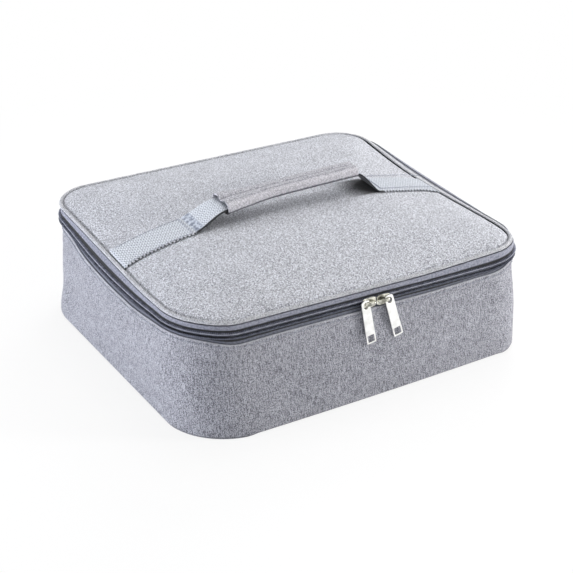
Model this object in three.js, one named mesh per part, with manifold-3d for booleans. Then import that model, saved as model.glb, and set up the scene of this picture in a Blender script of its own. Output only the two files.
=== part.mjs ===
// Insulated lunch bag: a low square soft case with a foam-lined wall, a padded lid on a fabric hinge,
// a two-slider zip round three sides and a padded carrying handle across the lid.
// Millimetres. +X runs along the front, +Z is up, the front faces -Y and the bag stands on Z = 0.
// Most pieces are drawn once as a section, in "spread" (how far out from the lid seam's outline) and
// height, and that section is carried round the bag's rounded outline.
import * as THREE from "three";
import { mergeVertices } from "three/addons/utils/BufferGeometryUtils.js";
import Module from "manifold-3d";

const wasm = await Module();
wasm.setup();

// Outline of the lid seam
const seamWidth = 280;
const seamDepth = 254;
const cornerSteps = 6;

// Radii of the four corners at the seam, and how much rounder they stand on the ground. The soft case
// is squarer at the front right.
const backRightRadius = 28;
const backRightFootExtra = 5;
const frontRightRadius = 20;
const frontRightFootExtra = -2;
const frontLeftRadius = 40;
const frontLeftFootExtra = 4;
const backLeftRadius = 29;
const backLeftFootExtra = 7;

// The corners in the order that an outline passes them
const corners = [
  { signX: 1, signY: 1, seamRadius: backRightRadius, footExtra: backRightFootExtra },
  { signX: 1, signY: -1, seamRadius: frontRightRadius, footExtra: frontRightFootExtra },
  { signX: -1, signY: -1, seamRadius: frontLeftRadius, footExtra: frontLeftFootExtra },
  { signX: -1, signY: 1, seamRadius: backLeftRadius, footExtra: backLeftFootExtra },
];

// Walls, which lean out towards the ground
const wallTopHeight = 74.5;
const wallTopSpread = 5.2;
const footSpread = 9;
const zipEndMargin = 2;

// Material thicknesses and the gap that is left between touching pieces
const clearance = 0.3;
const fabricThickness = 0.8;
const tapeThickness = 0.6;
const foamThickness = 5;
const liningThickness = 0.4;
const bindingThickness = 1.6;
const bindingReach = 2.4;
const tapeHem = 6;

// Lid
const lidCrown = 15.2;
const lidCrownReach = 80;
const lidCrownSteps = [0, 0.03, 0.08, 0.16, 0.28, 0.45, 0.66, 0.9];
const innerCornerGain = 0.3;
const pipingRadius = 2.2;
const pipingSpread = 2.7;
const pipingDrop = 1.4;
const pipingSides = 8;

// Zip, with the height of tape that shows below and above its coils
const lowerTapeShow = 4.2;
const upperTapeShow = 5.4;
const coilHeight = 2.5;
const coilThickness = 1.6;
const postThickness = 0.4;

// Sliders and their pulls
const sliderMeetingX = 10.2;
const sliderHeadGap = 0.6;
const sliderLength = 11.4;
const sliderOverhang = 1.4;
const sliderTaper = 0.8;
const plateThickness = 1;
const flangeThickness = 0.7;
const postLength = 3;
const postInset = 1.2;
const strapThickness = 1.1;
const strapWidth = 2.2;
const footLength = 1.6;
const footWidth = 1.8;
const footInset = 9.8;
const noseInset = 1.8;
const pullLength = 38;
const pullTopWidth = 7.2;
const pullBottomWidth = 8.2;
const pullThickness = 1.3;
const eyeWidth = 4;
const eyeHeight = 5.5;
const eyeLimb = 1.6;
const windowWidth = 5.4;
const windowHeight = 6;
const windowMargin = 1.4;
const leftPullTilt = 10.5;
const rightPullTilt = 16;

// Handle
const webbingWidth = 30;
const webbingThickness = 1.4;
const webbingCentreY = -5;
const stitchEndX = 82;
const gripLeftX = -53;
const gripRightX = 65;
const gripLeftLift = 11.8;
const gripRightLift = 16;
const gripArch = 0.8;
const gripMouthWidth = 27.5;
const gripWidth = 18;
const gripTaperLength = 45;
const gripThickness = 8.4;
const gripSections = 8;
const gripSides = 16;
const gripSquareness = 0.62;
const sleeveThickness = 0.9;
const paddingEdge = 1.4;
const slotEase = 0.9;
const webbingSteps = 6;

// Sizes that follow from the ones above
const halfSeamWidth = seamWidth / 2;
const halfSeamDepth = seamDepth / 2;
const halfShortSide = Math.min(halfSeamWidth, halfSeamDepth);
const backCorners = corners.filter((corner) => corner.signY > 0);
const roundestBackCorner = Math.max(...backCorners.map((corner) => corner.seamRadius + corner.footExtra));
const zipEndX = halfSeamWidth - roundestBackCorner - zipEndMargin;
const tapeOuterSpread = wallTopSpread - fabricThickness - clearance;
const tapeInnerSpread = tapeOuterSpread - tapeThickness;
const tapeBottomHeight = wallTopHeight - tapeHem;
const coilGap = postThickness + 2 * clearance;
const coilInnerSpread = tapeOuterSpread + clearance;
const coilOuterSpread = coilInnerSpread + coilThickness;
const chainHeight = wallTopHeight + lowerTapeShow + coilHeight + coilGap / 2;
const tapeTopHeight = chainHeight + coilGap / 2 + coilHeight + upperTapeShow;
const pipingHeight = tapeTopHeight + clearance + pipingRadius;
const seamHeight = pipingHeight + pipingDrop;
const sliderHeadWidth = coilGap + 2 * (coilHeight + sliderOverhang);
const sliderTailWidth = sliderHeadWidth - 2 * sliderTaper;
const gripLeftHeight = seamHeight + lidCrown + gripLeftLift;
const gripRightHeight = seamHeight + lidCrown + gripRightLift;
const plateFaceSpread = coilOuterSpread + clearance;
const plateOuterSpread = plateFaceSpread + plateThickness;
const pullInnerSpread = plateOuterSpread + clearance;
const strapInnerSpread = pullInnerSpread + pullThickness + clearance;
const clothRim = pipingSpread - pipingRadius - clearance;

// How far the wall's outer face stands out from the lid seam at a height.
function wallSpread(height) {
  return footSpread + (wallTopSpread - footSpread) * (height / wallTopHeight);
}

// Depths of the wall's layers behind its outer face. The foam leaves room for the zip tape's hem.
const foamDepth = wallSpread(tapeBottomHeight) - tapeInnerSpread + clearance;
const liningDepth = foamDepth + foamThickness + clearance;
const wallDepth = liningDepth + liningThickness;

// Heights of the layers on the floor of the bag
const bottomFoamHeight = fabricThickness + clearance;
const bottomLiningHeight = bottomFoamHeight + foamThickness + clearance;
const floorHeight = bottomLiningHeight + liningThickness;
const foamTopHeight = wallTopHeight - bindingThickness - clearance;

// A corner's radius: it grows outwards and changes towards the ground, and on the lid the rings inside
// the seam grow rounder towards the middle.
function cornerRadius(corner, spread, height) {
  if (spread < 0 && height > wallTopHeight) {
    return Math.min(corner.seamRadius - innerCornerGain * spread, halfShortSide + spread);
  }
  const towardsFoot = Math.max(0, 1 - height / wallTopHeight);
  return corner.seamRadius + spread + corner.footExtra * towardsFoot;
}

// A ring round the bag at a spread and a height, from the zip's right end on the back, round the
// right, front and left sides, to its left end on the back.
function outlineRing([spread, height]) {
  const halfWidth = halfSeamWidth + spread;
  const halfDepth = halfSeamDepth + spread;
  const endX = corners.map((corner) => {
    return Math.min(zipEndX, halfWidth - cornerRadius(corner, spread, height));
  });
  const points = [new THREE.Vector3(endX[0], halfDepth, height)];
  corners.forEach((corner, index) => {
    const radius = cornerRadius(corner, spread, height);
    for (let step = 0; step <= cornerSteps; step += 1) {
      const angle = (Math.PI / 2) * (1 - index - step / cornerSteps);
      const x = corner.signX * (halfWidth - radius) + radius * Math.cos(angle);
      const y = corner.signY * (halfDepth - radius) + radius * Math.sin(angle);
      points.push(new THREE.Vector3(x, y, height));
    }
  });
  points.push(new THREE.Vector3(-endX[corners.length - 1], halfDepth, height));
  return points;
}

// A straight pair of stations across the back between two X positions, for the back panel's layers.
function backRun(startX, endX) {
  return ([spread, height]) => [
    new THREE.Vector3(startX, halfSeamDepth + spread, height),
    new THREE.Vector3(endX, halfSeamDepth + spread, height),
  ];
}

// A closed body from rows of points that each have the same count: neighbouring rows are joined, each
// row closes on itself, and the ends are capped, or joined to each other when `looped` is true.
function solidFromRows(rows, looped = false) {
  const count = rows[0].length;
  const positions = rows.flat().flatMap((point) => point.toArray());
  const triangles = [];
  const lastRow = looped ? rows.length : rows.length - 1;
  for (let row = 0; row < lastRow; row += 1) {
    const next = (row + 1) % rows.length;
    for (let column = 0; column < count; column += 1) {
      const beside = (column + 1) % count;
      const a = row * count + column;
      const b = row * count + beside;
      const c = next * count + beside;
      const d = next * count + column;
      triangles.push(a, b, c, a, c, d);
    }
  }
  if (!looped) {
    const capFirst = capTriangles(rows[0]);
    const capLast = capTriangles(rows[rows.length - 1]);
    const lastStart = (rows.length - 1) * count;
    for (const [a, b, c] of capFirst) {
      triangles.push(a, c, b);
    }
    for (const [a, b, c] of capLast) {
      triangles.push(lastStart + a, lastStart + b, lastStart + c);
    }
  }
  return outwardGeometry(positions, triangles);
}

// Triangles that fill a flat closed row, turned the same way round as the row.
function capTriangles(row) {
  const normal = new THREE.Vector3();
  row.forEach((point, index) => {
    const after = row[(index + 1) % row.length];
    normal.x += (point.y - after.y) * (point.z + after.z);
    normal.y += (point.z - after.z) * (point.x + after.x);
    normal.z += (point.x - after.x) * (point.y + after.y);
  });
  normal.normalize();
  const across = new THREE.Vector3(1, 0, 0);
  if (Math.abs(normal.x) > 0.9) {
    across.set(0, 1, 0);
  }
  across.cross(normal).normalize();
  const along = new THREE.Vector3().crossVectors(normal, across);
  const flat = row.map((point) => new THREE.Vector2(point.dot(across), point.dot(along)));
  return THREE.ShapeUtils.triangulateShape(flat, []);
}

// A geometry whose faces point out: the triangles are turned over if the enclosed volume is negative.
function outwardGeometry(positions, triangles) {
  const corner = (index) => new THREE.Vector3().fromArray(positions, index * 3);
  let volume = 0;
  for (let index = 0; index < triangles.length; index += 3) {
    const [a, b, c] = triangles.slice(index, index + 3).map(corner);
    volume += a.dot(b.cross(c)) / 6;
  }
  const order = volume < 0 ? [...triangles].reverse() : triangles;
  const geometry = new THREE.BufferGeometry();
  geometry.setAttribute("position", new THREE.Float32BufferAttribute(positions, 3));
  geometry.setIndex(order);
  geometry.computeVertexNormals();
  return geometry;
}

// A section carried all the way round the bag, as a hoop.
function hoop(section) {
  return solidFromRows(section.map(outlineRing), true);
}

// A section carried along stations, one row for each station, with its two ends closed.
function carried(section, runAt) {
  const lines = section.map(runAt);
  const rows = lines[0].map((_, station) => lines.map((line) => line[station]));
  return solidFromRows(rows);
}

// A section carried round the three zipped sides and the back corners.
function threeSided(section) {
  return carried(section, outlineRing);
}

// A section carried across the back, clear of the three-sided pieces by the clearance at each end.
function acrossBack(section) {
  return carried(section, backRun(zipEndX - clearance, -zipEndX + clearance));
}

// A full-size layer of the floor between two heights, reaching out to a depth behind the wall's face.
function floorLayer(depth, lowHeight, highHeight) {
  const low = [wallSpread(lowHeight) - depth, lowHeight];
  const high = [wallSpread(highHeight) - depth, highHeight];
  return solidFromRows([outlineRing(low), outlineRing(high)]);
}

// The section of a layer of the wall: a band between two depths that follows the wall's lean.
function wallBand(outerDepth, innerDepth, lowHeight, highHeight) {
  return [
    [wallSpread(lowHeight) - outerDepth, lowHeight],
    [wallSpread(highHeight) - outerDepth, highHeight],
    [wallSpread(highHeight) - innerDepth, highHeight],
    [wallSpread(lowHeight) - innerDepth, lowHeight],
  ];
}

// A rectangular section between two spreads and two heights.
function block(innerSpread, outerSpread, lowHeight, highHeight) {
  return [
    [outerSpread, lowHeight],
    [outerSpread, highHeight],
    [innerSpread, highHeight],
    [innerSpread, lowHeight],
  ];
}

// How far the lid's cloth rises above its seam, a distance in from the seam.
function lidRise(inset) {
  const share = Math.min(1, Math.max(0, inset / lidCrownReach));
  return lidCrown * Math.sin((Math.PI / 2) * share);
}

// Height of the lid's top face at an X position near its middle line.
function lidTopAtX(x) {
  return seamHeight + lidRise(halfSeamWidth - Math.abs(x));
}

// Spreads of the rings that shape the crowned lid, from its rim to near its middle.
function lidSpreads(rimSpread) {
  return lidCrownSteps.map((share) => rimSpread - share * halfShortSide);
}

// A layer of the crowned lid, a depth below the lid's top face, out to a rim spread.
function lidLayer(rimSpread, depth, thickness) {
  const spreads = lidSpreads(rimSpread);
  const topAt = (spread) => seamHeight - depth + lidRise(-spread);
  const topRows = spreads.map((spread) => [spread, topAt(spread)]);
  const bottomRows = spreads.map((spread) => [spread, topAt(spread) - thickness]);
  return solidFromRows([...bottomRows.reverse(), ...topRows].map(outlineRing));
}

// A round section for the piping, as a polygon in spread and height.
function pipingSection() {
  const section = [];
  for (let side = 0; side < pipingSides; side += 1) {
    const angle = (2 * Math.PI * (side + 0.5)) / pipingSides;
    const spread = pipingSpread + pipingRadius * Math.cos(angle);
    const height = pipingHeight + pipingRadius * Math.sin(angle);
    section.push([spread, height]);
  }
  return section;
}

// A flat strip of webbing that follows a line of [x, height, width] points. Its two ends are cut
// upright, so that strips meet end to end.
function webbingStrip(line) {
  const rows = line.map(([x, height, width], index) => {
    const near = webbingCentreY - width / 2;
    const far = webbingCentreY + width / 2;
    const isEnd = index === 0 || index === line.length - 1;
    const before = line[isEnd ? index : index - 1];
    const after = line[isEnd ? index : index + 1];
    const run = isEnd ? line[line.length - 1][0] - line[0][0] : after[0] - before[0];
    const direction = new THREE.Vector2(run, after[1] - before[1]).normalize();
    const offsetX = (-direction.y * webbingThickness) / 2;
    const offsetZ = (direction.x * webbingThickness) / 2;
    return [
      new THREE.Vector3(x + offsetX, near, height + offsetZ),
      new THREE.Vector3(x + offsetX, far, height + offsetZ),
      new THREE.Vector3(x - offsetX, far, height - offsetZ),
      new THREE.Vector3(x - offsetX, near, height - offsetZ),
    ];
  });
  return solidFromRows(rows);
}

// Height of the webbing's middle where it lies on the lid at an X position. The lid is steepest at its
// seam, and the gap is kept there too.
function webbingOnLid(x) {
  const steepest = Math.hypot(1, (Math.PI / 2) * (lidCrown / lidCrownReach));
  return lidTopAtX(x) + (clearance + webbingThickness / 2) * steepest;
}

// Points of one stretch of webbing stitched flat to the lid, from the seam to the end of the stitches.
function anchorLine(side) {
  const bends = lidSpreads(clothRim).map((spread) => halfSeamWidth + spread);
  const stations = bends.filter((x) => x > stitchEndX + clearance);
  stations.push(stitchEndX);
  return stations.map((x) => [side * x, webbingOnLid(x), webbingWidth]);
}

// Points of the free stretch that climbs from the stitches to the end of the grip in a soft S, drawn
// in from the webbing's full width to the width of the grip's mouth.
function riserLine(side, gripX) {
  const line = [];
  const startX = side * (stitchEndX - clearance);
  const endX = gripX + side * 2 * clearance;
  const startHeight = webbingOnLid(stitchEndX);
  const endHeight = gripHeightAt(gripX);
  for (let step = 0; step <= webbingSteps; step += 1) {
    const share = step / webbingSteps;
    const climb = share * share * (3 - 2 * share);
    const x = startX + (endX - startX) * share;
    const height = startHeight + (endHeight - startHeight) * climb;
    line.push([x, height, webbingWidth + (gripWidthAt(gripX) - webbingWidth) * share]);
  }
  return line;
}

// Height of the grip's middle line: a straight climb from left to right with a low arch on it.
function gripHeightAt(x) {
  const share = (x - gripLeftX) / (gripRightX - gripLeftX);
  const chord = gripLeftHeight + (gripRightHeight - gripLeftHeight) * share;
  return chord + gripArch * Math.sin(Math.PI * share);
}

// Width of the grip: as wide as the webbing at its left mouth, narrower where it is folded.
function gripWidthAt(x) {
  const share = Math.min(1, (x - gripLeftX) / gripTaperLength);
  const fold = share * share * (3 - 2 * share);
  return gripMouthWidth + (gripWidth - gripMouthWidth) * fold;
}

// X positions along the grip.
function gripStations() {
  const stations = [];
  for (let step = 0; step <= gripSections; step += 1) {
    stations.push(gripLeftX + ((gripRightX - gripLeftX) * step) / gripSections);
  }
  return stations;
}

// One rounded section of the grip, set in from its outer size, as a ring of points across it.
function gripRing(x, inset, thickness) {
  const ring = [];
  const width = gripWidthAt(x) - 2 * inset;
  for (let side = 0; side < gripSides; side += 1) {
    const angle = (2 * Math.PI * side) / gripSides;
    const cosine = Math.cos(angle);
    const sine = Math.sin(angle);
    const across = Math.sign(cosine) * Math.abs(cosine) ** gripSquareness * (width / 2);
    const upward = Math.sign(sine) * Math.abs(sine) ** gripSquareness * (thickness / 2);
    ring.push(new THREE.Vector3(x, webbingCentreY + across, gripHeightAt(x) + upward));
  }
  return ring;
}

// A sleeve along the grip: an outer skin and the hole through it, joined at both ends. The insets are
// measured from the grip's outer width.
function gripTube(outerInset, outerThickness, holeInset, holeThickness) {
  const outside = gripStations().map((x) => gripRing(x, outerInset, outerThickness));
  const inside = gripStations().map((x) => gripRing(x, holeInset, holeThickness));
  return solidFromRows([...outside, ...inside.reverse()], true);
}

// Manifold solid from a closed geometry, for cutting and joining.
function toSolid(geometry) {
  const bare = geometry.clone();
  bare.deleteAttribute("normal");
  bare.deleteAttribute("uv");
  const merged = mergeVertices(bare);
  const vertProperties = new Float32Array(merged.attributes.position.array);
  const triVerts = new Uint32Array(merged.index.array);
  return new wasm.Manifold(new wasm.Mesh({ numProp: 3, vertProperties, triVerts }));
}

// Geometry from a manifold solid.
function toGeometry(solid) {
  const mesh = solid.getMesh();
  const geometry = new THREE.BufferGeometry();
  geometry.setAttribute("position", new THREE.BufferAttribute(mesh.vertProperties, 3));
  geometry.setIndex(new THREE.BufferAttribute(mesh.triVerts, 1));
  geometry.computeVertexNormals();
  return geometry;
}

// A box on the front of the bag between two X positions, two spreads and two heights.
function frontBox(x0, x1, innerSpread, outerSpread, lowHeight, highHeight) {
  const box = new THREE.BoxGeometry(Math.abs(x1 - x0), outerSpread - innerSpread, highHeight - lowHeight);
  const middleY = -halfSeamDepth - (innerSpread + outerSpread) / 2;
  box.translate((x0 + x1) / 2, middleY, (lowHeight + highHeight) / 2);
  return toSolid(box);
}

// A slider plate between two spreads: wide at the head, narrower towards the tail. `side` is 1 for
// the right slider and -1 for the left one, whose head faces it.
function sliderPlate(headX, side, innerSpread, outerSpread) {
  const half = sliderHeadWidth / 2;
  const tailHalf = sliderTailWidth / 2;
  const shoulder = sliderLength / 3;
  const outline = [
    [0, -tailHalf], [sliderTaper, -half], [shoulder, -half], [sliderLength, -tailHalf],
    [sliderLength, tailHalf], [shoulder, half], [sliderTaper, half], [0, tailHalf],
  ];
  const row = (spread) => outline.map(([along, across]) => {
    return new THREE.Vector3(headX + side * along, -halfSeamDepth - spread, chainHeight + across);
  });
  return toSolid(solidFromRows([row(innerSpread), row(outerSpread)]));
}

// A zip slider: two plates joined by a post at the head, a lip under the coil and a bridge that
// holds the pull. The lid's half of the coil can lift straight out above the post.
function sliderBody(side) {
  const headX = sliderMeetingX + (side * sliderHeadGap) / 2;
  const at = (along) => headX + side * along;
  const innerFace = tapeInnerSpread - clearance;
  const lowEdge = chainHeight - sliderHeadWidth / 2;
  const lipTop = chainHeight - coilGap / 2 - coilHeight - clearance;
  const shoulder = sliderLength / 3;
  const lipBottom = Math.min(lipTop - flangeThickness, lowEdge);
  let body = sliderPlate(headX, side, plateFaceSpread, plateOuterSpread);
  body = body.add(sliderPlate(headX, side, innerFace - plateThickness, innerFace));
  body = body.add(frontBox(
    at(postInset), at(postInset + postLength),
    innerFace - plateThickness / 2, plateOuterSpread - plateThickness / 2,
    chainHeight - postThickness / 2, chainHeight + postThickness / 2,
  ));
  body = body.add(frontBox(
    at(shoulder / 2), at(shoulder * 2),
    tapeOuterSpread + clearance, plateOuterSpread, lipBottom, lipTop,
  ));
  const strapOuterSpread = strapInnerSpread + strapThickness;
  for (const inset of [noseInset, footInset]) {
    body = body.add(frontBox(
      at(inset - footLength / 2), at(inset + footLength / 2),
      plateOuterSpread - plateThickness / 2, strapInnerSpread + strapThickness / 2,
      chainHeight - footWidth / 2, chainHeight + footWidth / 2,
    ));
  }
  body = body.add(frontBox(
    at(noseInset - footLength / 2), at(footInset + footLength / 2),
    strapInnerSpread, strapOuterSpread,
    chainHeight - strapWidth / 2, chainHeight + strapWidth / 2,
  ));
  return toGeometry(body);
}

// How far the pull's pivot lies below the top of its eye: the bridge foot's corner turns inside it.
const pivotBelowEyeTop = Math.hypot(footLength, footWidth) / 2 + clearance;

// A flat zip pull in its own plane, hanging down from the origin: an eye at the top, a long tab and a
// square window near the bottom.
function pullGeometry() {
  const topHeight = pivotBelowEyeTop + eyeLimb;
  const bottomHeight = topHeight - pullLength;
  const roundHeight = topHeight - pullTopWidth / 2;
  const shape = new THREE.Shape();
  shape.moveTo(pullTopWidth / 2, roundHeight);
  shape.absarc(0, roundHeight, pullTopWidth / 2, 0, Math.PI, false);
  shape.lineTo(-pullBottomWidth / 2, bottomHeight);
  shape.lineTo(pullBottomWidth / 2, bottomHeight);
  shape.closePath();
  const eye = new THREE.Path();
  eye.absellipse(0, pivotBelowEyeTop - eyeHeight / 2, eyeWidth / 2, eyeHeight / 2, 0, 2 * Math.PI, true);
  const windowBottom = bottomHeight + windowMargin;
  const opening = new THREE.Path();
  opening.moveTo(-windowWidth / 2, windowBottom);
  opening.lineTo(-windowWidth / 2, windowBottom + windowHeight);
  opening.lineTo(windowWidth / 2, windowBottom + windowHeight);
  opening.lineTo(windowWidth / 2, windowBottom);
  opening.closePath();
  shape.holes.push(eye, opening);
  const geometry = new THREE.ExtrudeGeometry(shape, {
    depth: pullThickness, bevelEnabled: false, curveSegments: 8,
  });
  geometry.rotateX(Math.PI / 2);
  geometry.translate(0, pullThickness / 2, 0);
  return geometry;
}

// Materials: the colours of the photographed bag, with the finish of each kind of material
const finishes = {
  shell: { color: 0x9c9da6, roughness: 0.95, metalness: 0 },
  lidCloth: { color: 0xb9bbc3, roughness: 0.95, metalness: 0 },
  gripCloth: { color: 0xb6b4bc, roughness: 0.95, metalness: 0 },
  piping: { color: 0xc4c2c0, roughness: 0.9, metalness: 0 },
  tape: { color: 0x868a9b, roughness: 0.85, metalness: 0 },
  coil: { color: 0x4b4d58, roughness: 0.5, metalness: 0 },
  webbing: { color: 0xbfc6cd, roughness: 0.6, metalness: 0 },
  binding: { color: 0x6a6d78, roughness: 0.9, metalness: 0 },
  foam: { color: 0xf2f2ee, roughness: 0.9, metalness: 0 },
  lining: { color: 0xcfd2d6, roughness: 0.3, metalness: 0.8 },
  nickel: { color: 0xdedcd6, roughness: 0.25, metalness: 1 },
};

const bag = new THREE.Group();

// Adds one named piece with a material of its own to a group.
function addPiece(group, name, geometry, finish) {
  const mesh = new THREE.Mesh(geometry, new THREE.MeshStandardMaterial(finishes[finish]));
  mesh.name = name;
  group.add(mesh);
  return mesh;
}

// The floor of the bag, from the ground up
function addFloor(group) {
  addPiece(group, "bottom_panel", floorLayer(0, 0, fabricThickness), "shell");
  const foamEdge = fabricThickness + clearance;
  const foamTop = bottomFoamHeight + foamThickness;
  addPiece(group, "bottom_foam", floorLayer(foamEdge, bottomFoamHeight, foamTop), "foam");
  const liningEdge = foamDepth + foamThickness + clearance;
  addPiece(group, "bottom_lining", floorLayer(liningEdge, bottomLiningHeight, floorHeight), "lining");
  const bindingTop = floorHeight + clearance + bindingReach;
  const bindingDepth = wallDepth + clearance;
  const binding = wallBand(bindingDepth, bindingDepth + bindingReach, floorHeight + clearance, bindingTop);
  addPiece(group, "bottom_seam_binding", hoop(binding), "binding");
}

// The three zipped sides of the wall, from the outside in
function addSides(group) {
  const shell = wallBand(0, fabricThickness, bottomFoamHeight, wallTopHeight);
  addPiece(group, "side_wall", threeSided(shell), "shell");
  const foam = wallBand(foamDepth, foamDepth + foamThickness, bottomLiningHeight, foamTopHeight);
  addPiece(group, "side_foam", threeSided(foam), "foam");
  const lining = wallBand(liningDepth, wallDepth, floorHeight + clearance, foamTopHeight);
  addPiece(group, "side_lining", threeSided(lining), "lining");
  const rimOuterSpread = tapeInnerSpread - clearance;
  const rimInnerSpread = wallTopSpread - wallDepth;
  const rim = block(rimInnerSpread, rimOuterSpread, foamTopHeight + clearance, wallTopHeight);
  addPiece(group, "rim_binding", threeSided(rim), "binding");
}

// The back of the wall, up to the fold where the lid hinges
function addBack(group) {
  const foldHeight = chainHeight - coilGap / 2;
  const shell = wallBand(0, fabricThickness, bottomFoamHeight, foldHeight);
  addPiece(group, "back_panel", acrossBack(shell), "shell");
  const foam = wallBand(foamDepth, foamDepth + foamThickness, bottomLiningHeight, foamTopHeight);
  addPiece(group, "back_foam", acrossBack(foam), "foam");
  addPiece(group, "back_lining", acrossBack(backLiningSection(foldHeight)), "lining");
  const seamDepthIn = wallDepth + clearance;
  const seamBand = wallBand(
    seamDepthIn, seamDepthIn + bindingThickness,
    floorHeight + 2 * clearance + bindingReach, foamTopHeight,
  );
  for (const [name, side] of [["back_seam_binding_left", -1], ["back_seam_binding_right", 1]]) {
    const run = backRun(side * (zipEndX - bindingReach), side * (zipEndX + bindingReach));
    addPiece(group, name, carried(seamBand, run), "binding");
  }
}

// The back lining climbs inside the foam, leans out over it and ends behind the panel at the fold.
function backLiningSection(foldHeight) {
  const lowHeight = floorHeight + clearance;
  const leanHeight = foamTopHeight + clearance;
  const panelSpread = wallSpread(foldHeight) - fabricThickness - clearance;
  const leanEndHeight = wallTopHeight + clearance;
  return [
    [wallSpread(lowHeight) - liningDepth, lowHeight],
    [wallSpread(leanHeight) - liningDepth, leanHeight],
    [panelSpread, leanEndHeight],
    [panelSpread, foldHeight],
    [panelSpread - liningThickness, foldHeight],
    [panelSpread - liningThickness, leanEndHeight + liningThickness],
    [wallSpread(leanHeight) - wallDepth, leanHeight + liningThickness],
    [wallSpread(lowHeight) - wallDepth, lowHeight],
  ];
}

// The bag's half of the zip
function addLowerZip(group) {
  const coilTop = chainHeight - coilGap / 2;
  const tape = block(tapeInnerSpread, tapeOuterSpread, tapeBottomHeight, coilTop);
  addPiece(group, "zip_tape_lower", threeSided(tape), "tape");
  const coil = block(coilInnerSpread, coilOuterSpread, coilTop - coilHeight, coilTop);
  addPiece(group, "zip_coil_lower", threeSided(coil), "coil");
}

// The lid: crowned cloth, foam and lining, the piping round its seam, and its half of the zip
function addLid(group) {
  const foamRim = clothRim - clearance;
  const foamLayerDepth = fabricThickness + clearance;
  const liningLayerDepth = foamLayerDepth + foamThickness + clearance;
  addPiece(group, "lid_panel", lidLayer(clothRim, 0, fabricThickness), "lidCloth");
  addPiece(group, "lid_foam", lidLayer(foamRim, foamLayerDepth, foamThickness), "foam");
  addPiece(group, "lid_lining", lidLayer(foamRim, liningLayerDepth, liningThickness), "lining");
  addPiece(group, "lid_piping", hoop(pipingSection()), "piping");
  const bindingOuter = tapeInnerSpread - clearance;
  const bindingTop = tapeTopHeight;
  const binding = block(bindingOuter - bindingReach, bindingOuter, bindingTop - bindingReach, bindingTop);
  addPiece(group, "lid_seam_binding", hoop(binding), "binding");
  const coilBottom = chainHeight + coilGap / 2;
  const tape = block(tapeInnerSpread, tapeOuterSpread, coilBottom, tapeTopHeight);
  addPiece(group, "zip_tape_upper", threeSided(tape), "tape");
  const coil = block(coilInnerSpread, coilOuterSpread, coilBottom, coilBottom + coilHeight);
  addPiece(group, "zip_coil_upper", threeSided(coil), "coil");
  const hinge = wallBand(0, fabricThickness, coilBottom, tapeTopHeight);
  addPiece(group, "hinge_panel", acrossBack(hinge), "shell");
}

// The webbing stitched to the lid, its two free risers, and the padded grip between them
function addHandle(group) {
  addPiece(group, "webbing_anchor_left", webbingStrip(anchorLine(-1)), "webbing");
  addPiece(group, "webbing_anchor_right", webbingStrip(anchorLine(1)), "webbing");
  addPiece(group, "webbing_riser_left", webbingStrip(riserLine(-1, gripLeftX)), "webbing");
  addPiece(group, "webbing_riser_right", webbingStrip(riserLine(1, gripRightX)), "webbing");
  const sleeveHole = gripThickness - 2 * sleeveThickness;
  const sleeve = gripTube(0, gripThickness, sleeveThickness, sleeveHole);
  addPiece(group, "grip_sleeve", sleeve, "gripCloth");
  const paddingInset = sleeveThickness + clearance;
  const slotInset = paddingInset + paddingEdge;
  const slotThickness = webbingThickness + 2 * clearance + slotEase;
  const padding = gripTube(paddingInset, gripThickness - 2 * paddingInset, slotInset, slotThickness);
  addPiece(group, "grip_padding", padding, "foam");
  const threadedInset = slotInset + slotEase;
  const threaded = gripStations().map((x) => [x, gripHeightAt(x), gripWidthAt(x) - 2 * threadedInset]);
  addPiece(group, "grip_webbing", webbingStrip(threaded), "webbing");
}

// The two sliders with their pulls
function addSliders(group) {
  const pullY = -halfSeamDepth - pullInnerSpread - pullThickness / 2;
  for (const [name, side, tilt] of [["left", -1, leftPullTilt], ["right", 1, rightPullTilt]]) {
    addPiece(group, `slider_${name}`, sliderBody(side), "nickel");
    const pull = addPiece(group, `pull_${name}`, pullGeometry(), "nickel");
    pull.position.set(sliderMeetingX + side * (sliderHeadGap / 2 + footInset), pullY, chainHeight);
    pull.rotation.y = THREE.MathUtils.degToRad(-tilt);
  }
}

addFloor(bag);
addSides(bag);
addBack(bag);
addLowerZip(bag);
addLid(bag);
addHandle(bag);
addSliders(bag);

export default bag;
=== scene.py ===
# %% [markdown]
# # An insulated lunch bag
# A low square bag of heathered grey cloth: foam behind its walls, a padded lid that folds open at the
# back, a zip round three sides and a webbing handle with a padded grip. The CAD frame says where every
# piece lies. This script dresses it: each piece of cloth, tape, cord and metal is a surface worked out
# from a few sizes, with a material made of nodes.

# %% Load the frame
import math

import bmesh
import bpy
import numpy as np
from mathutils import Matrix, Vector


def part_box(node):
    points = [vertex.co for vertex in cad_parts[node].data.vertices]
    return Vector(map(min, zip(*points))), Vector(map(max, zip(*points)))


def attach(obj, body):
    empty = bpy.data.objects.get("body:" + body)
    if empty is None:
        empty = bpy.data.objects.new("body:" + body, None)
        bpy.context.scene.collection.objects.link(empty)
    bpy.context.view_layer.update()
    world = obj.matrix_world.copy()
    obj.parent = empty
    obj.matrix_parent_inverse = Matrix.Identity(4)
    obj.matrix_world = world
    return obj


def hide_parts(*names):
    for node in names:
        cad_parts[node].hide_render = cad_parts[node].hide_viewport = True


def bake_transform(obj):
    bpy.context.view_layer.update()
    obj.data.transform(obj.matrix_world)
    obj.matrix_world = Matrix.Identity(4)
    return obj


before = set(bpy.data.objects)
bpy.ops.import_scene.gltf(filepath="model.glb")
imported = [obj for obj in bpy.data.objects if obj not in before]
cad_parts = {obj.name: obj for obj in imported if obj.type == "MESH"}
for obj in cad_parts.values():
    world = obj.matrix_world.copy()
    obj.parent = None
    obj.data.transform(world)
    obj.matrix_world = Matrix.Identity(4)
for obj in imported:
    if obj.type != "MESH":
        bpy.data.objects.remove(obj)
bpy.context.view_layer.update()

mm = 0.001

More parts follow.
